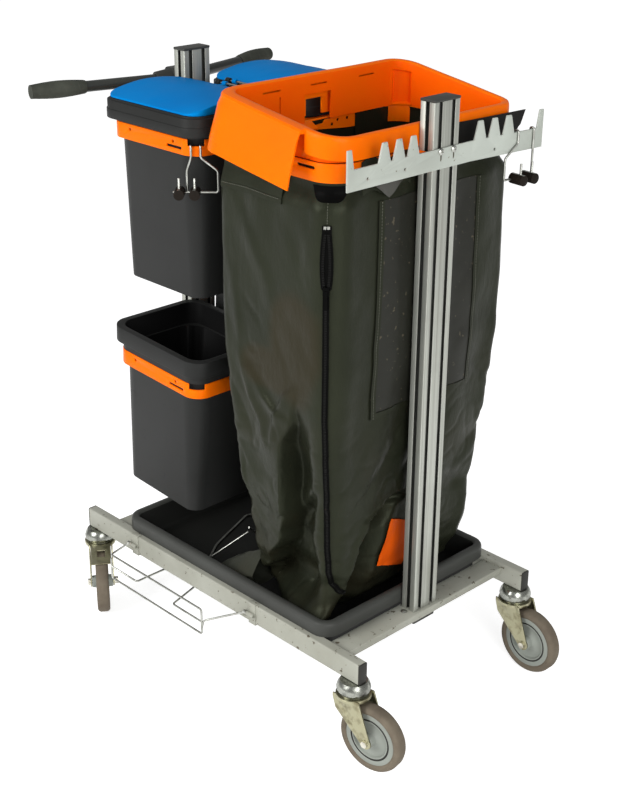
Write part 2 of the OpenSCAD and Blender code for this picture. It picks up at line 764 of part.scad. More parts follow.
// Soft bag as a thin shell that hangs in the ring with its hem over the ring top
module bag() color(vinyl) place() {
    hx = bag_ring_len / 2;
    hy = bag_ring_w / 2;
    drop = bag_top - bag_ring_h - bag_low;
    rows = [[-62, -84, 20, 24, 0], [-46, -70, 22, 30, 0.015], [-32, -38, 20, 36, 0.06],
        [-24, -22, 18, 40, 0.13], [-17, -18, 18, 42, 0.26], [-6, -4, 18, 44, 0.45],
        [2, 6, 18, 45, 0.62], [4, 8, 18, 45, 0.74], [4, 8, 18, 45, 0.95], [-4, -2, 24, 45, 0.988]];
    outer = [for (o = rows) corner_ring(bag_mid, hx + o[0], hy + o[1],
        [o[2], o[2], o[2], o[3]], bag_low + o[4] * drop)];
    inner = [for (i = [len(rows) - 1 : -1 : 0]) let (o = rows[i], w = bag_wall)
        corner_ring(bag_mid, hx + o[0] - w, hy + o[1] - w,
            [o[2] - w, o[2] - w, o[2] - w, o[3] - w], bag_low + o[4] * drop + (i == 0 ? w : 0))];
    r = [45.7, 45.7, 45.7, 45.7];
    rim = [corner_ring(bag_mid, hx - 4.3, hy - 4.3, r, bag_top - bag_ring_h),
        corner_ring(bag_mid, hx - 4.3, hy - 4.3, r, bag_top + 0.3),
        corner_ring(bag_mid, hx - 0.5, hy - 0.5, r, bag_top + 0.3),
        corner_ring(bag_mid, hx - 0.5, hy - 0.5, r, bag_top + hem),
        corner_ring(bag_mid, hx - 4.3 - bag_wall, hy - 4.3 - bag_wall, r, bag_top + hem),
        corner_ring(bag_mid, hx - 4.3 - bag_wall, hy - 4.3 - bag_wall, r, bag_top - bag_ring_h)];
    skin(concat(outer, rim, inner));
}

module zip_slider() color(steel) place()
    translate([bag_x1 + 4 - 45, 45 - 8 - bag_ring_w / 2, bag_top - 205])
        rotate([0, 0, -55]) translate([45.3, 0, 0]) {
            box(0, 5, -5, 5, 0, 14);
            box(4.5, 6, -2.5, 2.5, -22, 8);
        }

module collar_shell() {
    difference() {
        linear_extrude(collar_high) rounded_each(collar_len, collar_w, collar_r);
        translate([0, 0, -1]) linear_extrude(collar_high + 2)
            rounded_each(collar_len - 8, collar_w - 8, [for (r = collar_r) r - 4]);
        on_slope() box(-60, slope_len + 60, -collar_w, collar_w, 0, 90);
        on_slope() box(apron_start, slope_len - apron_cut, -collar_w, 20 - collar_w / 2, -34, 1);
        translate([-collar_len / 2, 4, -1]) box(-10, 20, -32, 32, -1, 38);
        for (y = [-105, 134])
            translate([-collar_len / 2, y, 46]) box(-10, 20, -20, 20, -2.5, 2.5);
    }
}

module on_slope() {
    translate([-collar_len / 2, 0, collar_high]) rotate([0, pitch, 0]) children();
}

module lip() {
    difference() {
        translate([slope_len / 2, 0, -5]) linear_extrude(5) difference() {
            rounded_each(slope_len + 12, collar_w + 12, [for (r = collar_r) r + 6]);
            rounded_each(slope_len + 12 - 2 * collar_lip, collar_w + 12 - 2 * collar_lip,
                [for (r = collar_r) r + 6 - collar_lip]);
        }
        box(apron_start, slope_len - apron_cut, -collar_w, 40 - collar_w / 2, -6, 1);
    }
}

// Flared apron on the right side of the collar
module apron() {
    w = collar_w / 2;
    top = -w - apron_out;
    foot = top - apron_flare;
    translate([apron_start, 0, 0]) rotate([90, 0, 90])
        linear_extrude(slope_len - apron_cut - apron_start) polygon([[4 - w, -36], [4 - w, -2],
            [2 - w, 0], [top + 2, 0], [top, -2], [foot, -apron_drop], [foot + 4, -apron_drop],
            [top + 4, -5], [-w, -5], [-w, -36]]);
}

module collar() color(orange) place() translate([collar_mid, 0, bag_top + collar_lift]) {
    collar_shell();
    on_slope() lip();
    on_slope() apron();
    for (sy = [-1, 1], x = [-60, 60])
        translate([x, sy * (collar_w / 2 - 3), hem + 0.3 - collar_lift])
            box(-10, 10, -2.5, 2.5, 0, collar_lift);
    for (y = [-120, 120])
        translate([collar_len / 2 - 2, y, hem + 0.3 - collar_lift])
            box(-2, 2, -10, 10, 0, collar_lift);
}

module tooth(y) {
    polygon([[y - 13.5, rack_h - 1], [y - 12, rack_h + 4], [y - 5, rack_h + tooth_h],
        [y + 5, rack_h + tooth_h], [y + 12, rack_h + 4], [y + 13.5, rack_h - 1]]);
}

// One half of the hook rack seen from the front
module rack_half_shape() {
    polygon([[-1, 0], [rack_half, 0], [rack_half, rack_h + tooth_h],
        [rack_half - 9, rack_h + tooth_h], [rack_half - 14, rack_h], [-1, rack_h]]);
    for (k = [-1, 0, 1])
        tooth(tooth_mid + k * tooth_pitch);
}

module hook_rack() color(light_grey) place() translate([rack_x, 0, base + rack_z])
    difference() {
        out = (rack_half + 5 - bend_y) * tan(rack_bend);
        intersection() {
            translate([0, 0, -1]) linear_extrude(rack_h + tooth_h + 2)
                polygon([[0, -rack_half - 5], [rack_t, -rack_half - 5], [rack_t, bend_y],
                    [rack_t + out, rack_half + 5], [out, rack_half + 5], [0, bend_y]]);
            translate([-1, 0, 0]) rotate([90, 0, 90]) linear_extrude(60) {
                rack_half_shape();
                mirror([1, 0]) rack_half_shape();
            }
        }
        for (y = [-178, rack_hole_pitch - 178])
            translate([-1, y, 14]) rotate([0, 90, 0])
                cylinder(d = rack_hole_d, h = rack_t + 2);
        for (sy = [-1, 1])
            translate([-1, sy * slot_y, 28]) rotate([0, 90, 0])
                cylinder(r = 3, h = rack_t + 2);
        translate([-1, tooth_mid + 2, 12]) rotate([0, 90, 0])
            cylinder(r = 2.5, h = 40);
    }

module rack_screws() color(steel) place()
    for (sy = [-1, 1])
        translate([rack_x + rack_t, sy * slot_y, base + rack_z + 28]) button(9);

// Wire holder in its own frame, hung over an edge at height zero with the front along X
module tool_holder(gap, back, y0, y1, tail = 0) {
    f = wire_r + 0.5;
    top = wire_r + 0.4;
    half = gap / 2;
    wire([[-back, -half, -10], [-back, -half, top], [f, -half, top], [f, -half, -18],
        [f, y0, -40], [f, y0, -holder_drop], [f, y1, -holder_drop], [f, y1, -40],
        [f, half, -18], [f, half, top], [-back, half, top], [-back, half, -10]], 3.5);
    if (tail > 0)
        translate([f, y0 - tail, -holder_drop]) rotate([-90, 0, 0])
            cylinder(r = wire_r - 0.25, h = tail + 6);
}

module tool_cups(y) {
    for (k = [0, 26])
        translate([wire_r + 0.5, y + k, -holder_drop]) {
            difference() {
                translate([-5, 0, 0]) rotate([0, 90, 0]) cylinder(r = 9, h = 28);
                translate([0, 20, 0]) rotate([90, 0, 0]) cylinder(r = wire_r + fit, h = 40);
            }
            translate([14, 0, 7]) cylinder(r = 2, h = 20);
        }
}

module at_front_holder() {
    translate([rack_x + rack_t, bend_y, rack_valley]) rotate([0, 0, -rack_bend])
        translate([0, 181 - bend_y, 0]) children();
}

module at_rear_holder() {
    at_row(upper_x, base + upper_ring, 0)
        translate([ring_len / 2 - 32, 32 - ring_w / 2, -11]) rotate([0, 0, -45])
            translate([32, 0, 0]) children();
}

module tool_holder_front() color(steel) place() at_front_holder()
    tool_holder(36, rack_t + wire_r + 0.5, -46, 18);
module tool_cups_front() color(black) place() at_front_holder() tool_cups(-22);
module tool_holder_rear() color(steel) place() at_rear_holder()
    tool_holder(16, ring_wall + wire_r + 2, -15.5, 36, 24.5);
module tool_cups_rear() color(black) place() at_rear_holder() tool_cups(-28);

module side_rack_clips() color(steel) place()
    for (sx = [-1, 1])
        translate([clip_x + sx * clip_pitch / 2, 0, 0]) {
            box(-9, 9, -frame_w / 2 - 1.5, -frame_w / 2, rail_top - rail_h - 1.5, rail_top + 1.5);
            box(-9, 9, -frame_w / 2 - 1, -frame_w / 2 + 8, rail_top, rail_top + 1.5);
            box(-9, 9, -frame_w / 2 - 1, 12 - frame_w / 2, rail_top - rail_h - 1.5,
                rail_top - rail_h);
            difference() {
                union() {
                    translate([-9, clip_y, clip_z]) rotate([0, 90, 0]) cylinder(r = 4, h = 18);
                    box(-9, 9, clip_y, -frame_w / 2 - 1, clip_z - 2.5, clip_z + 2.5);
                }
                translate([-20, clip_y, clip_z]) rotate([0, 90, 0])
                    cylinder(r = wire_r + fit, h = 40);
            }
        }

// Hanging wire rack that swings on two pins
module side_rack() color(steel) place() {
    a = clip_x - clip_pitch / 2;
    b = clip_x + clip_pitch / 2;
    y = -frame_w / 2 - side_rack_out;
    left = a - 14;
    right = a + side_rack_len - 10;
    top = rail_top - 29;
    for (x = [a, b]) {
        translate([x - 13, clip_y, clip_z]) rotate([0, 90, 0]) cylinder(r = wire_r, h = 23);
        translate([x - 17, clip_y, clip_z]) rotate([0, 90, 0]) cylinder(r = 3.4, h = 7);
    }
    wire([[left, clip_y, clip_z], [left, y, top], [right, y, top], [right, y, top - 52],
        [left, y, top - 52], [left, y, top - 8]], 6);
    wire([[b - 13.5, clip_y, clip_z], [right + 4, y + 1, top - 22], [right, y, top - 40]], 6);
    wire([[left, y, top - 26], [left + 80, y, top - 26], [left + 80, y + 70, top - 26],
        [left + 170, y + 70, top - 26], [left + 190, y, top - 26], [right, y, top - 26]], 6);
}

side_rail_right();
side_rail_left();
cross_member_front();
cross_member_rear();
rail_end_plugs();
post_front();
post_rear();
post_caps();
post_feet();
post_screws();
caster_heads();
handle_hub();
handle_bars();
handle_grips();
bucket_ring_upper_right();
bucket_ring_upper_left();
bucket_ring_lower_right();
bucket_ring_lower_left();
ring_screws();
bag_ring();
hook_rack();
rack_screws();
side_rack_clips();
base_tray();
tray_wire_stand();
bag();
zip_slider();
collar();
side_rack();
tool_holder_front();
tool_cups_front();
tool_holder_rear();
tool_cups_rear();
bucket_upper_right();
bucket_upper_left();
bucket_lower_right();
bucket_lower_left();
lid_frame_right();
lid_frame_left();
lid_pin_right();
lid_pin_left();
lid_right();
lid_left();
fork_front_right();
axle_front_right();
rim_front_right();
tyre_front_right();
fork_front_left();
axle_front_left();
rim_front_left();
tyre_front_left();
fork_rear_right();
axle_rear_right();
rim_rear_right();
tyre_rear_right();
fork_rear_left();
axle_rear_left();
rim_rear_left();
tyre_rear_left();
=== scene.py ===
import json
import math
import bmesh
import bpy
import numpy
from mathutils import Matrix, Vector, noise

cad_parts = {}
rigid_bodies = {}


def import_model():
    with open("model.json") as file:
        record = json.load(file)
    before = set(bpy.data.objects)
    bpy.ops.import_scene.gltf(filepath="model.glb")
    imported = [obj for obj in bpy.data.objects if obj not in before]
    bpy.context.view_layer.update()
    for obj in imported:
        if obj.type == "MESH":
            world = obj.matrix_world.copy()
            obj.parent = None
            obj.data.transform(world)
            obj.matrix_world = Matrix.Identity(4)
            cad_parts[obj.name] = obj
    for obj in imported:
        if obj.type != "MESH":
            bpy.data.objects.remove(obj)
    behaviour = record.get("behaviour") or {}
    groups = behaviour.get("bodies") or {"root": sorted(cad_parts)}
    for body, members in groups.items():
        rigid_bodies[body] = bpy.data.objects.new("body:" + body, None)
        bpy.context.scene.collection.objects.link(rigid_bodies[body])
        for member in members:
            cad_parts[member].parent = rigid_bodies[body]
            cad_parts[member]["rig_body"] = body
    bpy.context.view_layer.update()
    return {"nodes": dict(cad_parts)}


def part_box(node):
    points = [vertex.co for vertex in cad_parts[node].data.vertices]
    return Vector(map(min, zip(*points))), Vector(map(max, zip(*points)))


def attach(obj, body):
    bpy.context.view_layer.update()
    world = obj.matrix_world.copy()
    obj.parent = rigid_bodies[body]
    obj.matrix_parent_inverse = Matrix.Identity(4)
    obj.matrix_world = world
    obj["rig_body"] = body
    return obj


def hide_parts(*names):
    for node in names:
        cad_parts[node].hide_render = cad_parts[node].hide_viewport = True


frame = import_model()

scene = bpy.context.scene
scene.view_settings.view_transform = "Standard"
white = (1.0, 1.0, 1.0, 1.0)
xAxis, yAxis, zAxis = Matrix.Identity(3)
print("frame loaded:", len(frame["nodes"]), "nodes")


# camera at the photo's angle, metres
cameraView = {
    "place": (1.710308, -1.659651, 1.559825),
    "right": (0.69311516, 0.72080414, 0.00572442),
    "up": (-0.29493073, 0.27633708, 0.91468775),
    "back": (0.65772885, -0.63567225, 0.40412071),
    "lens": 63.198, "sensor": 36.0,
}


def addCamera():
    data = bpy.data.cameras.new("photoCamera")
    data.lens = cameraView["lens"]
    data.sensor_fit = "AUTO"
    data.sensor_width = cameraView["sensor"]
    camera = bpy.data.objects.new("photoCamera", data)
    turn = Matrix((cameraView["right"], cameraView["up"], cameraView["back"])).transposed()
    camera.matrix_world = Matrix.Translation(cameraView["place"]) @ turn.to_4x4()
    scene.collection.objects.link(camera)
    scene.camera = camera


# sets an input of a node; a socket is linked
def feed(node, name, value):
    if isinstance(value, bpy.types.NodeSocket):
        node.id_data.links.new(value, node.inputs[name])
    else:
        node.inputs[name].default_value = value


def paint(kit, name, value):
    feed(kit["shader"], name, value)


def addNode(kit, kind, inputs, **settings):
    node = kit["nodes"].new("ShaderNode" + kind)
    for name, value in settings.items():
        setattr(node, name, value)
    for name, value in inputs.items():
        feed(node, name, value)
    return node


def startFinish(name, roughness, metallic=0.0, specular=0.5):
    mat = bpy.data.materials.new(name)
    mat.use_nodes = True
    kit = {"mat": mat, "nodes": mat.node_tree.nodes, "bump": None}
    kit["shader"] = kit["nodes"]["Principled BSDF"]
    kit["coord"] = addNode(kit, "TexCoord", {}).outputs["Object"]
    paint(kit, "Roughness", roughness)
    paint(kit, "Metallic", metallic)
    paint(kit, "Specular IOR Level", specular)
    return kit


# material helpers: each returns a socket to carry on from
def mapped(kit, stretch=(1, 1, 1), move=(0, 0, 0)):
    inputs = {"Vector": kit["coord"], "Scale": stretch, "Location": move}
    return addNode(kit, "Mapping", inputs).outputs["Vector"]


def cloudy(kit, scale, detail=5.0, rough=0.55, stretch=(1, 1, 1), move=(0, 0, 0)):
    inputs = {"Vector": mapped(kit, stretch, move), "Scale": scale, "Detail": detail, "Roughness": rough}
    return addNode(kit, "TexNoise", inputs).outputs["Fac"]


def between(kit, value, low, high, outLow=0.0, outHigh=1.0):
    inputs = {"Value": value, "From Min": low, "From Max": high, "To Min": outLow, "To Max": outHigh}
    return addNode(kit, "MapRange", inputs).outputs["Result"]


def combine(kit, how, first, second):
    return addNode(kit, "Math", {0: first, 1: second}, operation=how).outputs[0]


# inputs 6 and 7 and output 2 of a mix node are its colours
def tint(kit, share, first, second):
    first, second = ((*value, 1.0) if isinstance(value, tuple) else value for value in (first, second))
    return addNode(kit, "Mix", {"Factor": share, 6: first, 7: second}, data_type="RGBA").outputs[2]


def times(kit, first, second):
    return combine(kit, "MULTIPLY", first, second)


def addBump(kit, height, strength, distance):
    inputs = {"Height": height, "Strength": strength, "Distance": distance}
    if kit["bump"] is not None:
        inputs["Normal"] = kit["bump"]
    kit["bump"] = addNode(kit, "Bump", inputs).outputs["Normal"]
    paint(kit, "Normal", kit["bump"])


# soft studio light: white dome, one large key on the camera's left, a weak fill
studio = {
    "dome": 0.4, "aim": (0.0, 0.0, 0.55), "lampSize": 2.2,
    "lamps": {"keyLamp": ((-0.6, -3.4, 2.2), 100.0), "fillLamp": ((3.3, -1.5, 1.7), 78.0)},
    "floorSize": 160.0, "floorColour": (0.93, 0.93, 0.93, 1.0), "floorRough": 0.9, "floorShine": 0.1,
    "floorGlow": 0.65,
}


def addLamp(name, place, power):
    lamp = bpy.data.lights.new(name, "AREA")
    lamp.shape = "DISK"
    lamp.size = studio["lampSize"]
    lamp.energy = power
    obj = bpy.data.objects.new(name, lamp)
    obj.location = place
    aim = Vector(studio["aim"]) - Vector(place)
    obj.rotation_euler = aim.to_track_quat("-Z", "Y").to_euler()
    scene.collection.objects.link(obj)


# seen directly the dome is plain white
def addDome():
    world = bpy.data.worlds.new("whiteDome")
    scene.world = world
    world.use_nodes = True
    kit = {"nodes": world.node_tree.nodes}
    seen = addNode(kit, "LightPath", {}).outputs["Is Camera Ray"]
    feed(kit["nodes"]["Background"], "Color", white)
    feed(kit["nodes"]["Background"], "Strength", between(kit, seen, 0.0, 1.0, studio["dome"], 1.0))


# the floor glows for the rays that show the white surround: seen directly, in metal or through film
def addFloor():
    mesh = bpy.data.meshes.new("floor")
    bm = bmesh.new()
    bmesh.ops.create_grid(bm, x_segments=1, y_segments=1, size=studio["floorSize"] / 2)
    bm.to_mesh(mesh)
    bm.free()
    floor = bpy.data.objects.new("floor", mesh)
    scene.collection.objects.link(floor)
    kit = startFinish("paleFloor", studio["floorRough"], specular=studio["floorShine"])
    paint(kit, "Base Color", studio["floorColour"])
    paths = addNode(kit, "LightPath", {}).outputs
    seen = paths["Is Camera Ray"]
    for word in ("Is Glossy Ray", "Is Transmission Ray"):
        seen = combine(kit, "MAXIMUM", seen, paths[word])
    glow = addNode(kit, "Emission", {"Color": white, "Strength": times(kit, seen, studio["floorGlow"])})
    both = addNode(kit, "AddShader", {0: kit["shader"].outputs["BSDF"], 1: glow.outputs["Emission"]})
    feed(kit["nodes"]["Material Output"], "Surface", both.outputs["Shader"])
    mesh.materials.append(kit["mat"])


addCamera()
addDome()
for name, (place, power) in studio["lamps"].items():
    addLamp(name, place, power)
addFloor()
print("camera, light and floor set")


# worn paint or film with broad patches, smears and chips
def wornPaint(name, light, dark, chip, chipLevel):
    kit = startFinish(name, 0.5, specular=0.2)
    broad = between(kit, cloudy(kit, 6.0, 6.0), 0.35, 0.7)
    smear = between(kit, cloudy(kit, 30.0, 4.0, stretch=(0.25, 0.25, 1.0)), 0.5, 0.75)
    chips = between(kit, cloudy(kit, 95.0, 3.0, 0.6), chipLevel, chipLevel + 0.025)
    colour = tint(kit, broad, light, dark)
    colour = tint(kit, times(kit, smear, 0.35), colour, dark)
    paint(kit, "Base Color", tint(kit, chips, colour, chip))
    paint(kit, "Roughness", between(kit, broad, 0.0, 1.0, 0.42, 0.62))
    addBump(kit, cloudy(kit, 420.0, 2.0), 0.12, 0.0004)
    addBump(kit, chips, 0.25, -0.0004)
    return kit["mat"]


# drawn and anodised aluminium with lines along its upright length
def drawnMetal(name, light, dark, roughness):
    kit = startFinish(name, roughness, 0.6)
    grain = cloudy(kit, 260.0, 3.0, stretch=(1.0, 1.0, 0.01))
    stain = between(kit, cloudy(kit, 14.0, 5.0), 0.52, 0.72)
    colour = tint(kit, between(kit, grain, 0.3, 0.7), light, dark)
    paint(kit, "Base Color", tint(kit, times(kit, stain, 0.4), colour, dark))
    paint(kit, "Roughness", between(kit, grain, 0.3, 0.7, roughness - 0.08, roughness + 0.1))
    addBump(kit, grain, 0.08, 0.0003)
    return kit["mat"]


def brightMetal(name, light, dark, roughness):
    kit = startFinish(name, roughness, 1.0)
    spots = between(kit, cloudy(kit, 70.0, 5.0), 0.45, 0.7)
    paint(kit, "Base Color", tint(kit, spots, light, dark))
    paint(kit, "Roughness", between(kit, spots, 0.0, 1.0, roughness, roughness + 0.2))
    addBump(kit, cloudy(kit, 500.0, 2.0), 0.05, 0.0002)
    return kit["mat"]


# moulded plastic with a fine grain, scuffs and handling marks
def mouldedPlastic(name, light, dark, roughness, grain=0.1, specular=0.12, glow=0.0):
    kit = startFinish(name, roughness, specular=specular)
    broad = between(kit, cloudy(kit, 5.0, 4.0), 0.3, 0.7)
    scuff = between(kit, cloudy(kit, 55.0, 6.0, 0.7, (1.0, 0.35, 1.0)), 0.6, 0.78)
    colour = tint(kit, broad, light, dark)
    paint(kit, "Base Color", tint(kit, times(kit, scuff, 0.3), colour, dark))
    paint(kit, "Roughness", between(kit, scuff, 0.0, 1.0, roughness, min(roughness + 0.22, 0.95)))
    addBump(kit, cloudy(kit, 620.0, 2.0), grain, 0.0004)
    if glow:  # thin bright plastic lets some light through
        paint(kit, "Subsurface Weight", glow)
        paint(kit, "Subsurface Radius", (1.0, 0.22, 0.02))
        paint(kit, "Subsurface Scale", 0.012)
    return kit["mat"]


def rubberTread(name, light, dark):
    kit = startFinish(name, 0.72, specular=0.12)
    dust = between(kit, cloudy(kit, 18.0, 6.0, 0.65), 0.35, 0.68)
    marks = between(kit, cloudy(kit, 120.0, 4.0, 0.7), 0.58, 0.7)
    colour = tint(kit, dust, light, dark)
    paint(kit, "Base Color", tint(kit, times(kit, marks, 0.45), colour, (0.1, 0.1, 0.085)))
    addBump(kit, cloudy(kit, 300.0, 4.0), 0.2, 0.0006)
    return kit["mat"]


def threads(kit, direction, scale, stretch):
    inputs = {"Vector": mapped(kit, stretch), "Scale": scale, "Distortion": 0.6}
    return addNode(kit, "TexWave", inputs, wave_type="BANDS", bands_direction=direction).outputs["Fac"]


# coated bag cloth: weave under a dull coating, soft creases, dirt low down and the mesh's own stains
def coatedCloth(name, light, dark, stain):
    kit = startFinish(name, 0.4, specular=0.13)
    paint(kit, "Specular Tint", (0.92, 1.0, 0.72, 1.0))
    colour = tint(kit, between(kit, cloudy(kit, 4.5, 6.0, 0.6), 0.3, 0.72), light, dark)
    height = addNode(kit, "SeparateXYZ", {"Vector": kit["coord"]}).outputs["Z"]
    patch = between(kit, cloudy(kit, 7.0, 5.0, 0.6, move=(3.0, 1.0, 0.0)), 0.48, 0.66)
    dirtAndShade = times(kit, times(kit, patch, between(kit, height, 0.75, 0.3)), 0.5)
    worn = addNode(kit, "Attribute", {}, attribute_name="stain").outputs["Fac"]
    paint(kit, "Base Color", tint(kit, combine(kit, "MAXIMUM", dirtAndShade, worn), colour, stain))
    crease = cloudy(kit, 26.0, 6.0, 0.62, (1.0, 1.0, 0.45))
    paint(kit, "Roughness", between(kit, crease, 0.3, 0.7, 0.28, 0.46))
    warp = threads(kit, "Z", 420.0, (1, 1, 1))
    weft = threads(kit, "DIAGONAL", 300.0, (1.0, 1.0, 0.02))
    addBump(kit, times(kit, warp, weft), 0.1, 0.0003)
    addBump(kit, crease, 0.45, 0.004)
    return kit["mat"]


# values for each maker, light and dark colour first
finishValues = {
    wornPaint: {
        "railPaint": ((0.4, 0.405, 0.35), (0.3, 0.3, 0.25), (0.1, 0.085, 0.06), 0.65),
        "rackPaint": ((0.48, 0.515, 0.465), (0.4, 0.425, 0.38), (0.17, 0.145, 0.1), 0.7),
        "clearFilm": ((0.0155, 0.016, 0.0115), (0.01, 0.01, 0.007), (0.075, 0.064, 0.042), 0.655),
    },
    drawnMetal: {
        "postAluminium": ((0.46, 0.475, 0.425), (0.3, 0.305, 0.27), 0.42),
        "grooveShade": ((0.075, 0.078, 0.07), (0.035, 0.036, 0.032), 0.5),
    },
    brightMetal: {
        "wireSteel": ((0.44, 0.445, 0.41), (0.24, 0.24, 0.215), 0.28),
        "headChrome": ((0.31, 0.32, 0.285), (0.1, 0.1, 0.09), 0.24),
        "forkZinc": ((0.36, 0.345, 0.23), (0.19, 0.17, 0.1), 0.32),
        "axleSteel": ((0.6, 0.58, 0.5), (0.34, 0.32, 0.27), 0.3),
    },
    mouldedPlastic: {
        "plugPlastic": ((0.022, 0.022, 0.02), (0.045, 0.043, 0.038), 0.5),
        "hubPlastic": ((0.028, 0.03, 0.027), (0.05, 0.05, 0.045), 0.38),
        "barSteel": ((0.022, 0.025, 0.023), (0.045, 0.047, 0.042), 0.2, 0.03, 0.3),
        "orangePlastic": ((0.97, 0.165, 0.001), (0.94, 0.145, 0.001), 0.3, 0.05, 0.05, 0.2),
        # painted shade: a redder orange for the collar's inside faces, for light bounced between its walls
        "orangeDeep": ((0.98, 0.125, 0.001), (0.95, 0.1, 0.001), 0.4, 0.06, 0.03, 0.2),
        "greyPlastic": ((0.0235, 0.024, 0.0232), (0.0175, 0.018, 0.0172), 0.46, 0.1, 0.085),
        # painted shade: a near-black grey for the inside of the buckets
        "bucketInside": ((0.008, 0.008, 0.008), (0.006, 0.006, 0.006), 0.5, 0.1, 0.05),
        "trayPlastic": ((0.056, 0.058, 0.053), (0.042, 0.043, 0.039), 0.44, 0.1, 0.15),
        # painted shade: a darker plastic for the tray's floor inside the rim
        "trayFloor": ((0.019, 0.0195, 0.018), (0.013, 0.0135, 0.012), 0.5, 0.1, 0.08),
        "cupPlastic": ((0.01, 0.008, 0.0066), (0.02, 0.015, 0.011), 0.55, 0.2, 0.06),
        "dripStain": ((0.13, 0.115, 0.085), (0.08, 0.068, 0.05), 0.7, 0.2, 0.05),
        "bluePlastic": ((0.001, 0.225, 0.62), (0.001, 0.185, 0.545), 0.45, 0.1, 0.012),
        "darkVinyl": ((0.007, 0.007, 0.0064), (0.011, 0.0105, 0.0095), 0.45, 0.25, 0.09),
        "zipTape": ((0.003, 0.003, 0.0028), (0.002, 0.002, 0.0019), 0.4, 0.2, 0.02),
        "zipTeeth": ((0.006, 0.006, 0.0054), (0.004, 0.004, 0.0036), 0.25, 0.05, 0.1),
        "stitchThread": ((0.17, 0.172, 0.14), (0.11, 0.112, 0.09), 0.8),
        "linerFilm": ((0.085, 0.085, 0.075), (0.035, 0.035, 0.03), 0.25, 0.1, 0.2),
        "labelVinyl": ((0.86, 0.12, 0.004), (0.7, 0.085, 0.004), 0.42),
        "rimPlastic": ((0.335, 0.36, 0.325), (0.25, 0.265, 0.235), 0.5),
    },
    rubberTread: {
        "gripRubber": ((0.07, 0.075, 0.06), (0.04, 0.043, 0.035)),
        "tyreRubber": ((0.185, 0.155, 0.115), (0.115, 0.093, 0.07)),
    },
    coatedCloth: {
        "bagCloth": ((0.0165, 0.0185, 0.0112), (0.01, 0.0112, 0.007), (0.0185, 0.0148, 0.0076)),
        # painted highlight: a lighter copy of the bag cloth for the upward face of the bag's foot
        "footCloth": ((0.044, 0.047, 0.036), (0.022, 0.024, 0.018), (0.04, 0.038, 0.028)),
    },
}
finishes = {}
for maker, rows in finishValues.items():
    for name, values in rows.items():
        finishes[name] = maker(name, *values)
print("finishes made:", len(finishes))


# edges sharper than the angle in degrees, and open rims, stay crisp
def finishPiece(name, bm, finish, body, angle=40.0):
    mesh = bpy.data.meshes.new(name)
    for face in bm.faces:
        face.smooth = True
    bm.edges.index_update()
    rims = [edge.index for edge in bm.edges if edge.is_boundary]
    bm.to_mesh(mesh)
    bm.free()
    mesh.set_sharp_from_angle(angle=math.radians(angle))
    for index in rims:
        mesh.edges[index].use_edge_sharp = True
    mesh.materials.append(finishes[finish])
    obj = bpy.data.objects.new(name, mesh)
    scene.collection.objects.link(obj)
    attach(obj, body)
    return obj


def faceOut(bm):
    bmesh.ops.recalc_face_normals(bm, faces=bm.faces)


def secondFinish(piece, finish, chosen):
    piece.data.materials.append(finishes[finish])
    for face in piece.data.polygons:
        if chosen(face):
            face.material_index = 1


def addWall(piece, thickness, offset):
    wall = piece.modifiers.new("wall", "SOLIDIFY")
    wall.thickness = thickness
    wall.offset = offset
    wall.use_even_offset = True


def noiseAt(place):
    return noise.noise(Vector(place))


def fade(value, low, high):
    share = min(1.0, max(0.0, (value - low) / (high - low)))
    return share * share * (3 - 2 * share)


# rigid pieces keep the shape of the solids, with softened edges: finish, edge round in metres and nodes; a
# word that ends in _ stands for every node that starts with it
rigidPieces = (
    ("railPaint", 0.0016, "side_rail_", "cross_member_"),
    ("railPaint", 0.0003, "side_rack_clips"),
    ("plugPlastic", 0.0008, "rail_end_plugs"),
    ("plugPlastic", 0.0006, "post_feet"),
    ("postAluminium", 0.0005, "post_front", "post_rear"),
    ("trayPlastic", 0.0006, "post_caps"),
    ("headChrome", 0.0004, "caster_heads"),
    ("hubPlastic", 0.0006, "handle_hub"),
    ("barSteel", 0.0, "handle_bars"),
    ("gripRubber", 0.0, "handle_grips"),
    ("orangePlastic", 0.0006, "bag_ring", "bucket_ring_"),
    ("rackPaint", 0.0005, "hook_rack"),
    ("wireSteel", 0.0, "post_screws", "ring_screws", "rack_screws", "tray_wire_stand", "side_rack",
     "tool_holder_", "lid_pin_"),
    ("zipTape", 0.0, "zip_slider"),
    ("cupPlastic", 0.0003, "tool_cups_"),
    ("greyPlastic", 0.0008, "lid_frame_"),
    ("greyPlastic", 0.001, "bucket_upper_", "bucket_lower_"),
    ("forkZinc", 0.0005, "fork_"),
    ("axleSteel", 0.0, "axle_"),
    ("rimPlastic", 0.0004, "rim_"),
    ("tyreRubber", 0.0, "tyre_"),
)
# how the solids are cleaned up; angles in degrees
soften = {"weld": 0.00001, "flatAngle": 0.4, "sharpAngle": 38.0, "segments": 2}


def roundEdges(bm, edges, rounding):
    bmesh.ops.bevel(bm, geom=edges, offset=rounding, offset_type="OFFSET", segments=soften["segments"],
                    profile=0.5, affect="EDGES", clamp_overlap=False, material=-1)


def softened(node, rounding):
    bm = bmesh.new()
    bm.from_mesh(frame["nodes"][node].data)
    bmesh.ops.remove_doubles(bm, verts=bm.verts, dist=soften["weld"])
    flat = math.radians(soften["flatAngle"])
    bmesh.ops.dissolve_limit(bm, angle_limit=flat, verts=bm.verts, edges=bm.edges)
    if rounding > 0.0:
        limit = math.radians(soften["sharpAngle"])
        sharp = [edge for edge in bm.edges if edge.calc_face_angle(0.0) > limit]
        roundEdges(bm, sharp, rounding)
    return bm


def dress(node, bm, finish):
    piece = finishPiece(node + "_dressed", bm, finish, frame["nodes"][node]["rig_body"])
    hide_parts(node)
    return piece


# where second finishes go, metres: radii of the rim's groove and depth of post slots, both painted dark as
# shade, length of the steel pins above the tool cups, height of a bucket's floor, whose inside is painted
# shade
secondForm = {"groove": (0.0366, 0.0404), "slot": 0.0016, "pin": 0.0185, "floor": 0.02}
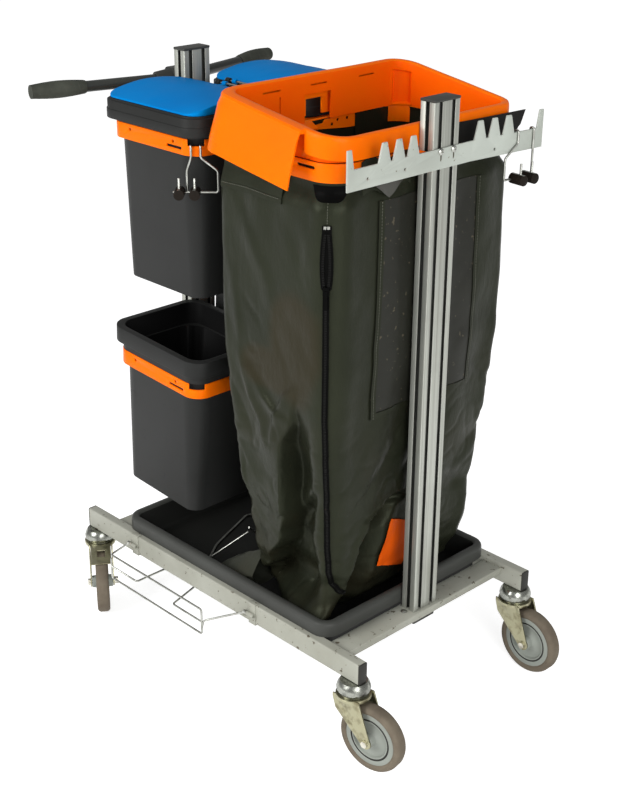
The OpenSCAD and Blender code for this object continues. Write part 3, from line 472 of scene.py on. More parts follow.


# painted shade: the faces in the rim's groove get black plastic so that the groove reads as a recess
def darkenGroove(rim):
    points = numpy.array([tuple(vert.co) for vert in rim.data.vertices])
    middle = (points.min(axis=0) + points.max(axis=0)) / 2
    axle = numpy.linalg.eigh(numpy.cov((points - middle).T))[1][:, 0]
    flat = points - middle - numpy.outer((points - middle) @ axle, axle)
    reach = numpy.linalg.norm(flat, axis=1)
    inner, outer = secondForm["groove"]
    dirtAndShade = (inner < reach) & (reach < outer)
    secondFinish(rim, "plugPlastic", lambda face: all(dirtAndShade[index] for index in face.vertices))


def darkenSlots(post, low, high):
    def inSlot(face):
        x, y = face.center.x, face.center.y
        depth = min(x - low.x, high.x - x, y - low.y, high.y - y)
        return depth > secondForm["slot"] and abs(face.normal.z) < 0.5

    secondFinish(post, "grooveShade", inSlot)


# painted shade: the inside walls and floor of a bucket get a much darker grey than its outside
def darkenInside(bucket, low, high):
    middle = (low + high) / 2

    def isInside(face):
        out = face.center - middle
        if face.normal.z > 0.7 and face.center.z < low.z + secondForm["floor"]:
            return True
        return out.x * face.normal.x + out.y * face.normal.y < 0.0 and abs(face.normal.z) < 0.7

    secondFinish(bucket, "bucketInside", isInside)


def dressRigid(node, rounding, finish):
    piece = dress(node, softened(node, rounding), finish)
    low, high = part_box(node)
    if node.startswith("rim_"):
        darkenGroove(piece)
    if node in ("post_front", "post_rear"):
        darkenSlots(piece, low, high)
    if node.startswith("bucket_") and "ring" not in node:
        darkenInside(piece, low, high)
    if node.startswith("tool_cups"):
        secondFinish(piece, "wireSteel", lambda face: face.center.z > high.z - secondForm["pin"])


for finish, rounding, *words in rigidPieces:
    for word in words:
        nodes = [node for node in frame["nodes"] if node.startswith(word)] if word.endswith("_") else [word]
        for node in nodes:
            dressRigid(node, rounding, finish)
print("rigid pieces dressed")


# thin vaulted lids, a little wavy from use
lidForm = {"rounding": 0.0009, "ripple": 0.0016, "step": 0.012, "edge": 0.016, "rise": 0.006, "waves": 9}


def makeLid(node, shift):
    low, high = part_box(node)
    bm = softened(node, lidForm["rounding"])
    cut = low.x + lidForm["step"]
    while cut < high.x:
        everything = bm.verts[:] + bm.edges[:] + bm.faces[:]
        bmesh.ops.bisect_plane(bm, geom=everything, plane_co=(cut, 0, 0), plane_no=(1, 0, 0))
        cut += lidForm["step"]
    edge = high.z - lidForm["edge"]
    for vert in bm.verts:
        lift = fade(vert.co.z, edge, edge + lidForm["rise"])
        spot = Vector((vert.co.x * lidForm["waves"], vert.co.y * lidForm["waves"], shift))
        vert.co.z += lift * lidForm["ripple"] * (noise.noise(spot) + 0.5 * noise.noise(spot * 2.7))
    dress(node, bm, "bluePlastic")


makeLid("lid_right", 0.0)
makeLid("lid_left", 3.0)
print("lids made")


# a spot (x, y, outward x, outward y) on a rounded corner given as (x, y, round, first angle)
def cornerSpot(corner, degrees):
    x, y, radius, start = corner
    nx, ny = math.cos(math.radians(degrees)), math.sin(math.radians(degrees))
    return (x - math.copysign(radius, x) + radius * nx, y - math.copysign(radius, y) + radius * ny, nx, ny)


# spots round four such corners; shares(number, first, last) places those on the side after a corner
def walkRound(corners, cornerSteps, shares):
    spots = []
    for number, corner in enumerate(corners):
        for step in range(cornerSteps + 1):
            spots.append(cornerSpot(corner, corner[3] + 90.0 * step / cornerSteps))
        following = corners[(number + 1) % len(corners)]
        x, y, nx, ny = spots[-1]
        endX, endY = cornerSpot(following, following[3])[:2]
        for share in shares(number, (x, y), (endX, endY)):
            spots.append((x + (endX - x) * share, y + (endY - y) * share, nx, ny))
    return spots


# a skin swept through loops: place(step, row) gives each point, drop(step, step, number) leaves a face out
def sweepSkin(count, rows, place, drop=None, capStart=False, capEnd=False):
    bm = bmesh.new()
    order = bm.verts.layers.int.new("step")
    loop = bmesh.ops.create_circle(bm, segments=count, radius=1.0, cap_ends=False)["verts"]
    for step, vert in enumerate(loop):
        vert[order] = step
    start = list(loop)
    edges = list(bm.edges)
    gone = []
    for number, row in enumerate(rows):
        if number:
            made = bmesh.ops.extrude_edge_only(bm, edges=edges)["geom"]
            edges = [item for item in made if isinstance(item, bmesh.types.BMEdge) and item.is_boundary]
            loop = [item for item in made if isinstance(item, bmesh.types.BMVert)]
            for face in (item for item in made if drop and isinstance(item, bmesh.types.BMFace)):
                ends = sorted({vert[order] for vert in face.verts})
                if ends == [0, count - 1]:
                    ends.reverse()
                if drop(*ends, number):
                    gone.append(face)
        for vert in loop:
            vert.co = place(vert[order], row)
    if capStart:
        bmesh.ops.contextual_create(bm, geom=start)
    if capEnd:
        bmesh.ops.contextual_create(bm, geom=loop)
    if gone:
        bmesh.ops.delete(bm, geom=gone, context="FACES")
    faceOut(bm)
    return bm


# hanging bag: rows of (share of the drop, how far the front, the rear, the sides and the near rear corner
# stand out, corner round, zip corner round); ridge and tuck are fold lines as (height, place)
bagLow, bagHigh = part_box("bag")
bagForm = {
    "midX": (bagLow.x + bagHigh.x) / 2, "halfX": (bagHigh.x - bagLow.x) / 2 - 0.004,
    "halfY": (bagHigh.y - bagLow.y) / 2 - 0.008, "bottom": bagLow.z, "drop": 0.8277, "overTop": 0.0275,
    "rows": (
        (0.0, -0.086, -0.05, -0.078, -0.078, 0.022, 0.024),
        (0.015, -0.066, -0.042, -0.066, -0.068, 0.022, 0.028),
        (0.052, -0.04, -0.034, -0.044, -0.052, 0.02, 0.034),
        (0.107, -0.026, -0.033, -0.029, -0.042, 0.018, 0.038),
        (0.16, -0.02, -0.034, -0.023, -0.027, 0.018, 0.041),
        (0.24, -0.017, -0.033, -0.02, -0.014, 0.018, 0.042),
        (0.34, -0.012, -0.023, -0.014, -0.004, 0.018, 0.043),
        (0.443, -0.006, -0.016, -0.005, 0.006, 0.018, 0.044),
        (0.54, -0.002, -0.006, 0.002, 0.008, 0.018, 0.045),
        (0.62, 0.002, 0.002, 0.006, 0.008, 0.018, 0.045),
        (0.74, 0.004, 0.004, 0.008, 0.008, 0.018, 0.045),
        (0.95, 0.003, 0.003, 0.007, 0.007, 0.018, 0.045),
        (0.985, -0.0043, -0.0043, -0.0043, -0.0043, 0.028, 0.046),
        (1.1, -0.0043, -0.0043, -0.0043, -0.0043, 0.046, 0.046)),
    "cornerSteps": 10, "sideSteps": (84, 24, 30, 80), "wall": 0.0012,
    "fineLoops": 120, "fineTop": 0.64, "plainLoops": 52,
    "ridge": ((0.2, -0.118), (0.274, -0.05), (0.342, -0.008), (0.389, 0.0055), (0.463, 0.0034),
              (0.527, 0.01), (0.586, 0.034), (0.66, 0.05)),
    "tuck": ((0.2, -0.16), (0.27, -0.1405), (0.339, -0.1216), (0.38, -0.098), (0.402, -0.06),
             (0.44, 0.03)),
}
# depths of the folds, metres
foldForm = {
    "wave": 0.0035, "crease": 0.0075, "small": 0.004, "gather": 0.0014, "panel": 0.01, "hollow": 0.042,
    "spread": 0.075, "tuck": 0.07, "lip": 0.006, "frontWave": 0.0022, "diagonal": 0.0035,
}
# creases on the near side: points (x from the middle, z), height, width left and right of the line
bagCreases = (
    (((-0.104, 0.955), (-0.058, 0.89), (-0.02, 0.832), (0.0, 0.77)), 0.003, 0.012, 0.02),
    (((0.058, 0.965), (0.078, 0.9), (0.075, 0.85)), 0.0022, 0.016, 0.014),
    (((-0.1, 0.82), (-0.088, 0.734), (-0.084, 0.66)), 0.0026, 0.009, 0.014),
    (((-0.07, 0.775), (-0.052, 0.76), (-0.034, 0.744)), -0.0022, 0.005, 0.004),
    (((-0.064, 0.697), (-0.041, 0.687)), -0.0022, 0.004, 0.005),
    (((-0.075, 0.662), (-0.05, 0.668), (-0.032, 0.664)), -0.0024, 0.006, 0.004),
    (((-0.079, 0.644), (-0.06, 0.6), (-0.036, 0.562), (-0.03, 0.53)), 0.0042, 0.014, 0.006),
    (((-0.06, 0.648), (-0.03, 0.612), (0.0, 0.59), (0.028, 0.582)), 0.0038, 0.006, 0.014),
    (((0.046, 0.645), (0.024, 0.628), (0.002, 0.583), (-0.009, 0.545)), 0.0042, 0.015, 0.006),
    (((-0.112, 0.501), (-0.094, 0.451), (-0.088, 0.4)), 0.003, 0.005, 0.01),
    (((0.074, 0.47), (0.037, 0.424), (0.012, 0.4)), 0.0105, 0.008, 0.026),
    (((0.072, 0.445), (0.044, 0.405), (0.022, 0.378)), -0.009, 0.014, 0.01),
    (((0.072, 0.383), (0.046, 0.345), (0.02, 0.3)), 0.0062, 0.02, 0.012),
    (((0.064, 0.318), (0.036, 0.262), (0.026, 0.215)), -0.005, 0.012, 0.014),
    (((-0.1, 0.372), (-0.078, 0.33), (-0.064, 0.27)), 0.0034, 0.008, 0.014),
)
# worn brown patches on the near side: middle (x from the middle, z) and reach
bagStains = ((0.047, 0.725, 0.066, 0.105), (-0.012, 0.662, 0.072, 0.045))


# smooth reading of a table whose first column is the place
def along(table, at):
    if at <= table[0][0]:
        return table[0][1:]
    for first, second in zip(table, table[1:]):
        if at <= second[0]:
            share = fade(at, first[0], second[0])
            return tuple(a + (b - a) * share for a, b in zip(first[1:], second[1:]))
    return table[-1][1:]


def bump(offset, width):
    return math.exp(-(offset / width) ** 2)


# height that one crease adds at a point of the near side
def creaseLift(points, height, left, right, x, z):
    reach = 2.6 * max(left, right)
    if not min(p[0] for p in points) - reach < x < max(p[0] for p in points) + reach:
        return 0.0
    best = None
    for number, ((ax, az), (bx, bz)) in enumerate(zip(points, points[1:])):
        dx, dz = bx - ax, bz - az
        share = min(1.0, max(0.0, ((x - ax) * dx + (z - az) * dz) / (dx * dx + dz * dz)))
        gap = math.hypot(x - ax - dx * share, z - az - dz * share)
        if best is None or gap < best[0]:
            best = (gap, dx * (z - az) - dz * (x - ax) > 0, (number + share) / (len(points) - 1))
    gap, onLeft, share = best
    return height * bump(gap, left if onLeft else right) * math.sin(math.pi * (0.1 + 0.8 * share)) ** 0.6


# near side: a bulging panel that ends at a sharp ridge, then a deep hollow that rises to the zip
def nearFolds(across, z, low):
    past = across - along(bagForm["ridge"], z)[0]
    panel = foldForm["panel"] * bump(past, 0.05 if past < 0 else 0.006)
    hollow = foldForm["hollow"] * fade(past, 0.0, 0.009) * (1.0 - fade(across, 0.02, 0.085))
    lifts = sum(creaseLift(*line, across, z) for line in bagCreases)
    spread = foldForm["spread"] * (1.0 - fade(z, 0.172, 0.285)) ** 1.4 * fade(across, -0.085, 0.03)
    return low * fade(z, 0.185, 0.25) * (panel - hollow) + lifts + spread


# front: the cloth is tucked in behind a curved edge, and comes forward again at the label
def frontFolds(y, z):
    depth = 0.0
    if z < 0.5:
        tuck = y - along(bagForm["tuck"], z)[0]
        inside = fade(tuck, 0.0, 0.018) * (1.0 - 0.86 * fade(tuck, 0.03, 0.085))
        depth -= foldForm["tuck"] * inside * (1.0 - fade(z, 0.372, 0.418)) * fade(0.19 - y, 0.0, 0.06)
        depth += foldForm["lip"] * bump(tuck, 0.01) * (1.0 - fade(z, 0.37, 0.42))
    wander = 3.0 * noiseAt((1, y * 4, z * 3))
    depth += foldForm["frontWave"] * math.sin(y * 58 + wander) * fade(z, 0.3, 0.5)
    return depth - foldForm["diagonal"] * bump(z - 0.6 + 0.75 * (y - 0.17), 0.012) * fade(y, 0.13, 0.16)


def foldDepth(x, y, z, normalX, normalY):
    loose = 1.0 - fade(z, 0.955, 0.992)
    if loose == 0.0:
        return 0.0
    low = 1.0 - fade(z, 0.46, 0.66)
    spot = Vector((x, y, z))
    depth = foldForm["wave"] * noiseAt((x * 5, y * 5, z * 3.0))
    crease = abs(noiseAt((x * 10 + z * 5, y * 10 - z * 4, z * 5 + 7)))
    depth -= foldForm["crease"] * max(0.0, 0.3 - crease) * (0.5 + 1.1 * low)
    small = abs(noise.noise(spot * 27 + Vector((3, 9, 1))))
    depth -= foldForm["small"] * max(0.0, 0.22 - small) * (0.4 + low)
    gather = math.sin(x * 95 + y * 60 + 2.0 * noise.noise(spot * 6))
    depth += foldForm["gather"] * fade(z, 0.8, 0.95) * gather
    side = fade(-normalY, 0.3, 0.9)
    if side > 0.0:
        depth += side * nearFolds(x - bagForm["midX"], z, low)
    front = fade(normalX, 0.3, 0.9)
    if front > 0.0:
        depth += front * frontFolds(y, z)
    return depth * loose


def bagRing(z):
    shape = bagForm
    row = along(shape["rows"], (z - shape["bottom"]) / shape["drop"])
    outFront, outRear, outSide, outNear, radius, zipRadius = row
    front = shape["halfX"] + outFront
    rear = -shape["halfX"] - outRear
    side = shape["halfY"] + outSide
    near = shape["halfY"] + outNear
    corners = ((front, -side, zipRadius, -90), (front, side, radius, 0), (rear, side, radius, 90),
               (rear, -near, radius, 180))

    def shares(number, first, last):
        count = shape["sideSteps"][number]
        return [step / count for step in range(1, count)]

    return walkRound(corners, shape["cornerSteps"], shares)


def onBag(spot, z, lift=0.0):
    x, y, nx, ny = spot
    x += bagForm["midX"]
    out = foldDepth(x, y, z, nx, ny) + lift
    return Vector((x + nx * out, y + ny * out, z))


def stainAt(x, y, z):
    across = x - bagForm["midX"]
    wander = 0.25 * noiseAt((x * 14, y * 14, z * 14))
    reach = min(math.hypot((across - mx) / rx, (z - mz) / rz) for mx, mz, rx, rz in bagStains)
    return (1.0 - fade(reach + wander, 0.72, 1.12)) * fade(-y, 0.1, 0.15)


def makeBag():
    shape = bagForm
    bottom, change = shape["bottom"], shape["fineTop"]
    top = bottom + shape["drop"] + shape["overTop"]
    fine, plain = shape["fineLoops"], shape["plainLoops"]
    heights = [bottom + (change - bottom) * step / fine for step in range(fine)]
    heights += [change + (top - change) * step / plain for step in range(plain + 1)]
    rows = [(bagRing(z), z, 0.0) for z in heights]
    rows.append((bagRing(top), top + 0.0006, -0.0012))  # hem turned in below the ring's edge

    def onRow(step, row):
        spots, z, lift = row
        return onBag(spots[step], z, lift)

    bm = sweepSkin(len(rows[0][0]), rows, onRow, capStart=True)
    stain = bm.verts.layers.float.new("stain")
    for vert in bm.verts:
        vert[stain] = stainAt(*vert.co)
    bag = finishPiece("bag_cloth", bm, "bagCloth", "chassis", 75.0)
    addWall(bag, shape["wall"], -1.0)
    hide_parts("bag")


# lowest corner of the bag, pushed out flat into the tray: spine as (x, y, z, half width, half height)
footForm = {
    "spine": ((0.04, -0.152, 0.222, 0.036, 0.046), (0.016, -0.154, 0.214, 0.036, 0.042),
              (-0.012, -0.156, 0.206, 0.034, 0.034), (-0.04, -0.158, 0.198, 0.028, 0.023),
              (-0.062, -0.16, 0.191, 0.019, 0.013), (-0.078, -0.161, 0.185, 0.008, 0.006)),
    "steps": 28, "rows": 26, "ripple": 0.0022, "lowest": 0.1765, "weld": 0.0002,
}


def makeBagFoot():
    shape = footForm
    spine = shape["spine"]

    def onFoot(step, number):
        at = (len(spine) - 1) * number / shape["rows"]
        first = min(int(at), len(spine) - 2)
        x, y, z, wide, tall = (a + (b - a) * (at - first) for a, b in zip(spine[first], spine[first + 1]))
        angle = 2 * math.pi * step / shape["steps"]
        side, up = math.cos(angle), math.sin(angle)
        peak = tall * (1.0 - abs(side) ** 1.3) if up > 0 else -0.55 * tall * (1.0 - abs(side) ** 3)
        ripple = shape["ripple"] * noiseAt((x * 40, side * 3, up * 2 + 5))
        return Vector((x, y + wide * side + ripple, max(shape["lowest"], z + peak + ripple)))

    bm = sweepSkin(shape["steps"], range(shape["rows"] + 1), onFoot, capEnd=True)
    bmesh.ops.remove_doubles(bm, verts=bm.verts, dist=shape["weld"])
    faceOut(bm)
    # painted highlight: the foot gets a lighter cloth than the bag, for the sheen on its upward face
    finishPiece("bag_foot", bm, "footCloth", "chassis", 55.0)


makeBag()
makeBagFoot()
print("bag hung")


ringStore = {}


def storedRing(z):
    key = round(z, 4)
    if key not in ringStore:
        ringStore[key] = bagRing(key)
    return ringStore[key]


# a point of the bag's skin at a loose step number round the loop
def bagSkin(step, z, lift=0.0):
    spots = storedRing(z)
    first = int(math.floor(step)) % len(spots)
    share = step - math.floor(step)
    return onBag(spots[first], z, lift).lerp(onBag(spots[(first + 1) % len(spots)], z, lift), share)


def frontStep(y, z):
    spots = storedRing(z)
    first = bagForm["cornerSteps"]
    count = bagForm["sideSteps"][0]
    return first + count * (y - spots[first][1]) / (spots[first + count][1] - spots[first][1])


# a thin piece made from a grid; place(u, v) gives each point for u and v from 0 to 1
def gridPiece(name, across, upward, place, finish, wall):
    bm = bmesh.new()
    bmesh.ops.create_grid(bm, x_segments=across, y_segments=upward, size=0.5)
    for vert in bm.verts:
        vert.co = place(vert.co.x + 0.5, vert.co.y + 0.5)
    faceOut(bm)
    piece = finishPiece(name, bm, finish, "chassis", 70.0)
    addWall(piece, wall, 0.0)
    return piece


def addBox(bm, size, place, turn):
    made = bmesh.ops.create_cube(bm, size=1.0)["verts"]
    bmesh.ops.scale(bm, vec=size, verts=made)
    bmesh.ops.transform(bm, matrix=Matrix.Translation(place) @ turn, verts=made)


# small boxes along a line, for zip teeth and stitches: entries of (place, direction, side, up)
def dashes(name, entries, size, finish):
    bm = bmesh.new()
    for spot, ahead, side, up in entries:
        addBox(bm, size, spot, Matrix((ahead, side, up)).transposed().to_4x4())
    faceOut(bm)
    piece = finishPiece(name, bm, finish, "chassis", 30.0)
    return piece


# zip down the near front corner: path of (height, step round the loop)
zipForm = {
    "path": ((0.24, 13.5), (0.252, 10.0), (0.268, 7.0), (0.284, 5.2), (0.31, 4.3), (0.36, 3.9), (0.6, 3.9),
             (0.965, 3.9)),
    "top": 0.927, "open": 0.836, "gap": 0.0056, "pitch": 0.0028, "tape": 0.0052, "tapeTop": 0.938,
    "tapeLift": 0.0026, "toothLift": 0.0034, "stopUp": 0.0085, "stopLift": 0.0042,
    "seam": 0.942, "seamPitch": 0.0041,
}


def zipLine(z):
    step = along(zipForm["path"], z)[0]
    spot = bagSkin(step, z)
    ahead = (bagSkin(along(zipForm["path"], z + 0.003)[0], z + 0.003) - spot).normalized()
    across = bagSkin(step + 0.3, z) - bagSkin(step - 0.3, z)
    up = across.cross(ahead).normalized()
    if up.x < 0 and up.y > 0:
        up.negate()
    return spot, ahead, up.cross(ahead).normalized() * -1.0, up


def zipGap(z):
    if z < zipForm["open"]:
        return 0.0
    share = min(1.0, (z - zipForm["open"]) / (zipForm["top"] - zipForm["open"]))
    return zipForm["gap"] * math.sin(math.pi * (0.12 + 0.72 * share) ** 0.8)


def zipDash(z, lift, out=0.0):
    spot, ahead, side, up = zipLine(z)
    return (spot + side * out + up * lift, ahead, side, up)


def makeZip():
    shape = zipForm
    low = shape["path"][0][0]

    def onTape(u, v):
        z = low + (shape["tapeTop"] - low) * v
        spot, ahead, side, up = zipLine(z)
        across = (u - 0.5) * 2 * (shape["tape"] + zipGap(z))
        middle = bump(across, 0.0026) if z < shape["open"] else -0.8 * bump(across, 0.006)
        lift = shape["tapeLift"] + 0.0007 * middle - across * across / 0.06
        lift += 0.0004 * bump(abs(across) - shape["tape"] * 0.86, 0.001)
        return spot + side * across + up * lift

    gridPiece("zip_tape", 14, 240, onTape, "zipTape", 0.0006)
    teeth = []
    z = low + 0.004
    while z < shape["top"]:
        gap = zipGap(z)
        teeth += [zipDash(z, shape["toothLift"], gap * way) for way in ((1, -1) if gap else (0,))]
        z += shape["pitch"] * max(0.25, abs(teeth[-1][1].z))
    dashes("zip_teeth", teeth, (0.0015, 0.004, 0.0016), "zipTeeth")
    out = zipGap(shape["top"]) + 0.0005
    stops = [zipDash(shape["top"] + shape["stopUp"], shape["stopLift"], out * way) for way in (-1, 1)]
    dashes("zip_stops", stops, (0.0045, 0.0042, 0.0026), "wireSteel")
    seam = [zipDash(shape["seam"] + shape["seamPitch"] * count, 0.0006) for count in range(8)]
    dashes("zip_seam", seam, (0.0024, 0.0006, 0.0005), "stitchThread")


# dark patch under the ring at the zip's head: first step, steps round the corner, top and depth
patchForm = {"step": 0.2, "steps": 7.8, "top": 0.996, "depth": 0.0235, "lift": 0.0017}


def makePatch():
    shape = patchForm

    def onPatch(u, v):
        z = shape["top"] - shape["depth"] * (1.0 - abs(2 * u - 1) ** 6) * v
        return bagSkin(shape["step"] + shape["steps"] * u, z, shape["lift"])

    patch = gridPiece("zip_patch", 28, 10, onPatch, "zipTape", 0.0008)


# flap that hangs out over the ring on the near side, with a stitched hem: line of (z, y)
flapForm = {
    "xFrom": 0.0105, "xTo": 0.1525, "low": 0.957, "tall": 0.075, "hem": 0.009, "hemLift": 0.001,
    "stitch": 0.9645, "stitches": 32, "pitch": 0.0042, "margin": 0.004, "stitchLift": 0.0016,
    "line": ((0.957, -0.2172), (0.968, -0.2165), (0.98, -0.2135), (0.99, -0.2103), (1.0, -0.209),
             (1.032, -0.2088)),
}


def onFlap(x, z, lift=0.0):
    y = along(flapForm["line"], z)[0] - lift
    y -= 0.0012 * fade(0.985 - z, 0.0, 0.02) * math.sin(x * 70 + 0.6) * 0.6
    return Vector((x, y, z - 0.003 * fade(x, 0.08, 0.15) + 0.002 * noiseAt((x * 20, z * 20, 0))))


def makeFlap():
    shape = flapForm
    wide = shape["xTo"] - shape["xFrom"]

    def flapGrid(name, count, tall, lift, wall):
        def place(u, v):
            return onFlap(shape["xFrom"] + wide * u, shape["low"] + tall * v, lift)

        return gridPiece(name, 30, count, place, "bagCloth", wall)

    flap = flapGrid("bag_flap", 16, shape["tall"], 0.0, 0.0011)
    hem = flapGrid("flap_hem", 4, shape["hem"], shape["hemLift"], 0.0008)
    rows = []
    for count in range(shape["stitches"]):
        x = shape["xFrom"] + shape["margin"] + shape["pitch"] * count
        rows.append((onFlap(x, shape["stitch"], shape["stitchLift"]), xAxis, zAxis, -yAxis))
    stitches = dashes("flap_stitches", rows, (0.0026, 0.0006, 0.0005), "stitchThread")


# clear pocket on the front with a sewn border
pocketForm = {
    "yFrom": -0.112, "yTo": 0.132, "low": 0.585, "high": 0.962, "border": 0.011, "stitches": 74,
    "filmLift": 0.001, "borderLift": 0.0024, "stitchLift": 0.0031,
}


def onPocket(u, v, lift):
    y = pocketForm["yFrom"] + (pocketForm["yTo"] - pocketForm["yFrom"]) * u
    z = pocketForm["low"] + (pocketForm["high"] - pocketForm["low"]) * v
    return bagSkin(frontStep(y, z), z, lift)


def makePocket():
    shape = pocketForm

    def onFilm(u, v):
        puff = 0.0012 * math.sin(math.pi * u) ** 2 + 0.0006 * noiseAt((u * 9, v * 5, 1))
        return onPocket(u, v, shape["filmLift"] + puff)

    def onStitch(share, count):
        return onPocket(share, count / shape["stitches"], shape["stitchLift"])

    film = gridPiece("pocket_film", 40, 50, onFilm, "clearFilm", 0.0004)
    across = shape["border"] / (shape["yTo"] - shape["yFrom"])
    upward = shape["border"] / (shape["high"] - shape["low"])
    strips = (("left", 0.0, across, 1.0, 3, 60), ("right", 1.0 - across, 1.0, 1.0, 3, 60),
              ("low", across, 1.0 - across, upward, 44, 3))
    for word, first, last, top, wide, tall in strips:
        def onStrip(u, v):
            return onPocket(first + (last - first) * u, top * v, shape["borderLift"])

        gridPiece("pocket_border_" + word, wide, tall, onStrip, "bagCloth", 0.0009)
    rows = []
    for share in (across * 0.5, 1.0 - across * 0.5):
        for count in range(shape["stitches"]):
            spot = onStitch(share, count + 0.5)
            rows.append((spot, (onStitch(share, count + 0.6) - spot).normalized(), yAxis, xAxis))
    dashes("pocket_stitches", rows, (0.003, 0.0006, 0.0005), "stitchThread")


# plain orange label low on the front, corners as (y, z)
labelForm = {
    "corners": ((-0.055, 0.272), (0.021, 0.241), (-0.025, 0.358), (0.051, 0.327)),
    "lift": 0.0022, "curl": 0.003,
}


def makeLabel():
    lowLeft, lowRight, topLeft, topRight = (Vector(corner) for corner in labelForm["corners"])

    def onLabel(u, v):
        place = lowLeft.lerp(lowRight, u).lerp(topLeft.lerp(topRight, u), v)
        lift = labelForm["lift"] + labelForm["curl"] * (1 - v) * fade(0.3 - u, 0.0, 0.3)
        return bagSkin(frontStep(place.x, place.y), place.y, lift)

    label = gridPiece("plain_label", 14, 18, onLabel, "labelVinyl", 0.0006)


# cuff folded out over the front of the ring, left and right of the post, and a tip of the liner, each as
# (first y, width, lowest and highest z, distance in front of the ring)
cuffForm = {
    "left": (-0.152, 0.108, 0.978, 1.0365, 0.0022), "wave": 0.006, "flare": 0.0035, "flareTop": 1.003,
    "right": (0.046, 0.172, 1.004, 1.0605, 0.0088), "lean": 0.012, "rise": 0.03,
    "tip": (-0.128, 0.062, 0.967, 0.996, 0.0075), "tipSide": 0.006,
}


def makeCuffs():
    shape = cuffForm
    front = bagForm["midX"] + bagForm["halfX"]

    def onLeft(u, v):
        start, wide, low, top, out = shape["left"]
        y = start + wide * u
        tall = top + 0.001 * math.sin(y * 60) - low - shape["wave"]
        z = low + shape["wave"] * math.sin(u * 9) + tall * v
        flare = shape["flare"] * fade(shape["flareTop"] - z, 0.0, 0.02)
        return Vector((front + out + flare + 0.0008 * noiseAt((y * 40, z * 40, 0)), y, z))

    def onRight(u, v):
        start, wide, low, top, out = shape["right"]
        y = start + wide * u + shape["lean"] * u * v
        low += shape["rise"] * fade(u, 0.86, 1.0)
        z = low + (top - 0.003 * u - low) * v
        return Vector((front + out + 0.004 * u + 0.0012 * noiseAt((y * 25, z * 25, 4)), y, z))

    def onTip(u, v):
        start, wide, low, top, out = shape["tip"]
        drop = shape["tipSide"] + (top - low - shape["tipSide"]) * (1.0 - abs(2 * u - 1))
        out += 0.003 * v + 0.001 * math.sin(u * 12)
        return Vector((front + out, start + wide * u, top - drop * v))

    left = gridPiece("cuff_left", 28, 12, onLeft, "bagCloth", 0.001)
    right = gridPiece("cuff_right", 36, 12, onRight, "darkVinyl", 0.001)
    tip = gridPiece("liner_tip", 16, 8, onTip, "linerFilm", 0.0005)


# inside of the ring at the rear: bare strip with three holes, a tongue beside it, cloth folded over, each
# as (first y, width, distance from the inside)
ringForm = {
    "inside": 0.0075, "strip": (-0.024, 0.115, 0.0012),
    "holes": ((0.035, 1.018), (0.049, 1.0238), (0.072, 1.0238)), "hole": 0.0029,
    "top": ((-0.024, 1.0212), (0.012, 1.0228), (0.019, 1.0284), (0.091, 1.0298)),
    "low": ((-0.024, 1.0149), (0.091, 1.0067)),
    "tongue": (-0.056, 0.042, 0.01), "tongueTop": 1.0285, "tongueDeep": 0.009,
    "fold": (0.0927, 0.083, 0.0015), "foldLow": 0.991, "foldTall": 0.0405,
}


def makeRingDetails():
    shape = ringForm

    def start(part, u):
        first, wide, out = shape[part]
        return shape["inside"] + out, first + wide * u

    def onStrip(u, v):
        x, y = start("strip", u)
        low = along(shape["low"], y)[0]
        return Vector((x, y, low + (along(shape["top"], y)[0] - low) * v))

    def onTongue(u, v):
        bend = (2 * v - 1) * math.sqrt(max(0.0, 1.0 - fade(0.4 - u, 0.0, 0.4) ** 2))
        x, y = start("tongue", u)
        return Vector((x + shape["tongueDeep"] * bend, y, shape["tongueTop"] - 0.004 * u - 0.005 * bend))

    def onFold(u, v):
        puff = 0.0015 * math.sin(math.pi * u) + 0.0008 * noiseAt((u * 5, v * 3, 2))
        x, y = start("fold", u)
        return Vector((x + puff, y, shape["foldLow"] + shape["foldTall"] * v - 0.003 * u))

    strip = gridPiece("ring_strip", 115, 22, onStrip, "orangePlastic", 0.0018)
    bm = bmesh.new()
    bm.from_mesh(strip.data)
    spots = [Vector((start("strip", 0.0)[0], y, z)) for y, z in shape["holes"]]
    holes = [face for face in bm.faces
             if min((face.calc_center_median() - spot).length for spot in spots) < shape["hole"]]
    bmesh.ops.delete(bm, geom=holes, context="FACES")
    bm.to_mesh(strip.data)
    bm.free()
    gridPiece("ring_tongue", 24, 10, onTongue, "orangePlastic", 0.0032)
    fold = gridPiece("hem_fold", 20, 10, onFold, "bagCloth", 0.0012)


# spots round a rectangle with its own round at each corner; cuts are extra places on the straight sides
def loopSpots(halfX, halfY, rounds, step, cuts):
    signs = ((1, -1, -90), (1, 1, 0), (-1, 1, 90), (-1, -1, 180))
    corners = [(sx * halfX, sy * halfY, radius, start) for (sx, sy, start), radius in zip(signs, rounds)]

    def shares(number, first, last):
        length = math.dist(first, last)
        axis = 1 if abs(last[1] - first[1]) > abs(last[0] - first[0]) else 0
        kept = [(place - first[axis]) / (last[axis] - first[axis]) for place in cuts.get(number, ())]
        count = round(length / step)
        plain = [part / count for part in range(1, count)]
        return sorted(kept + [share for share in plain
                              if all(abs(share - other) * length > step * 0.3 for other in kept)])

    return walkRound(corners, 8, shares)


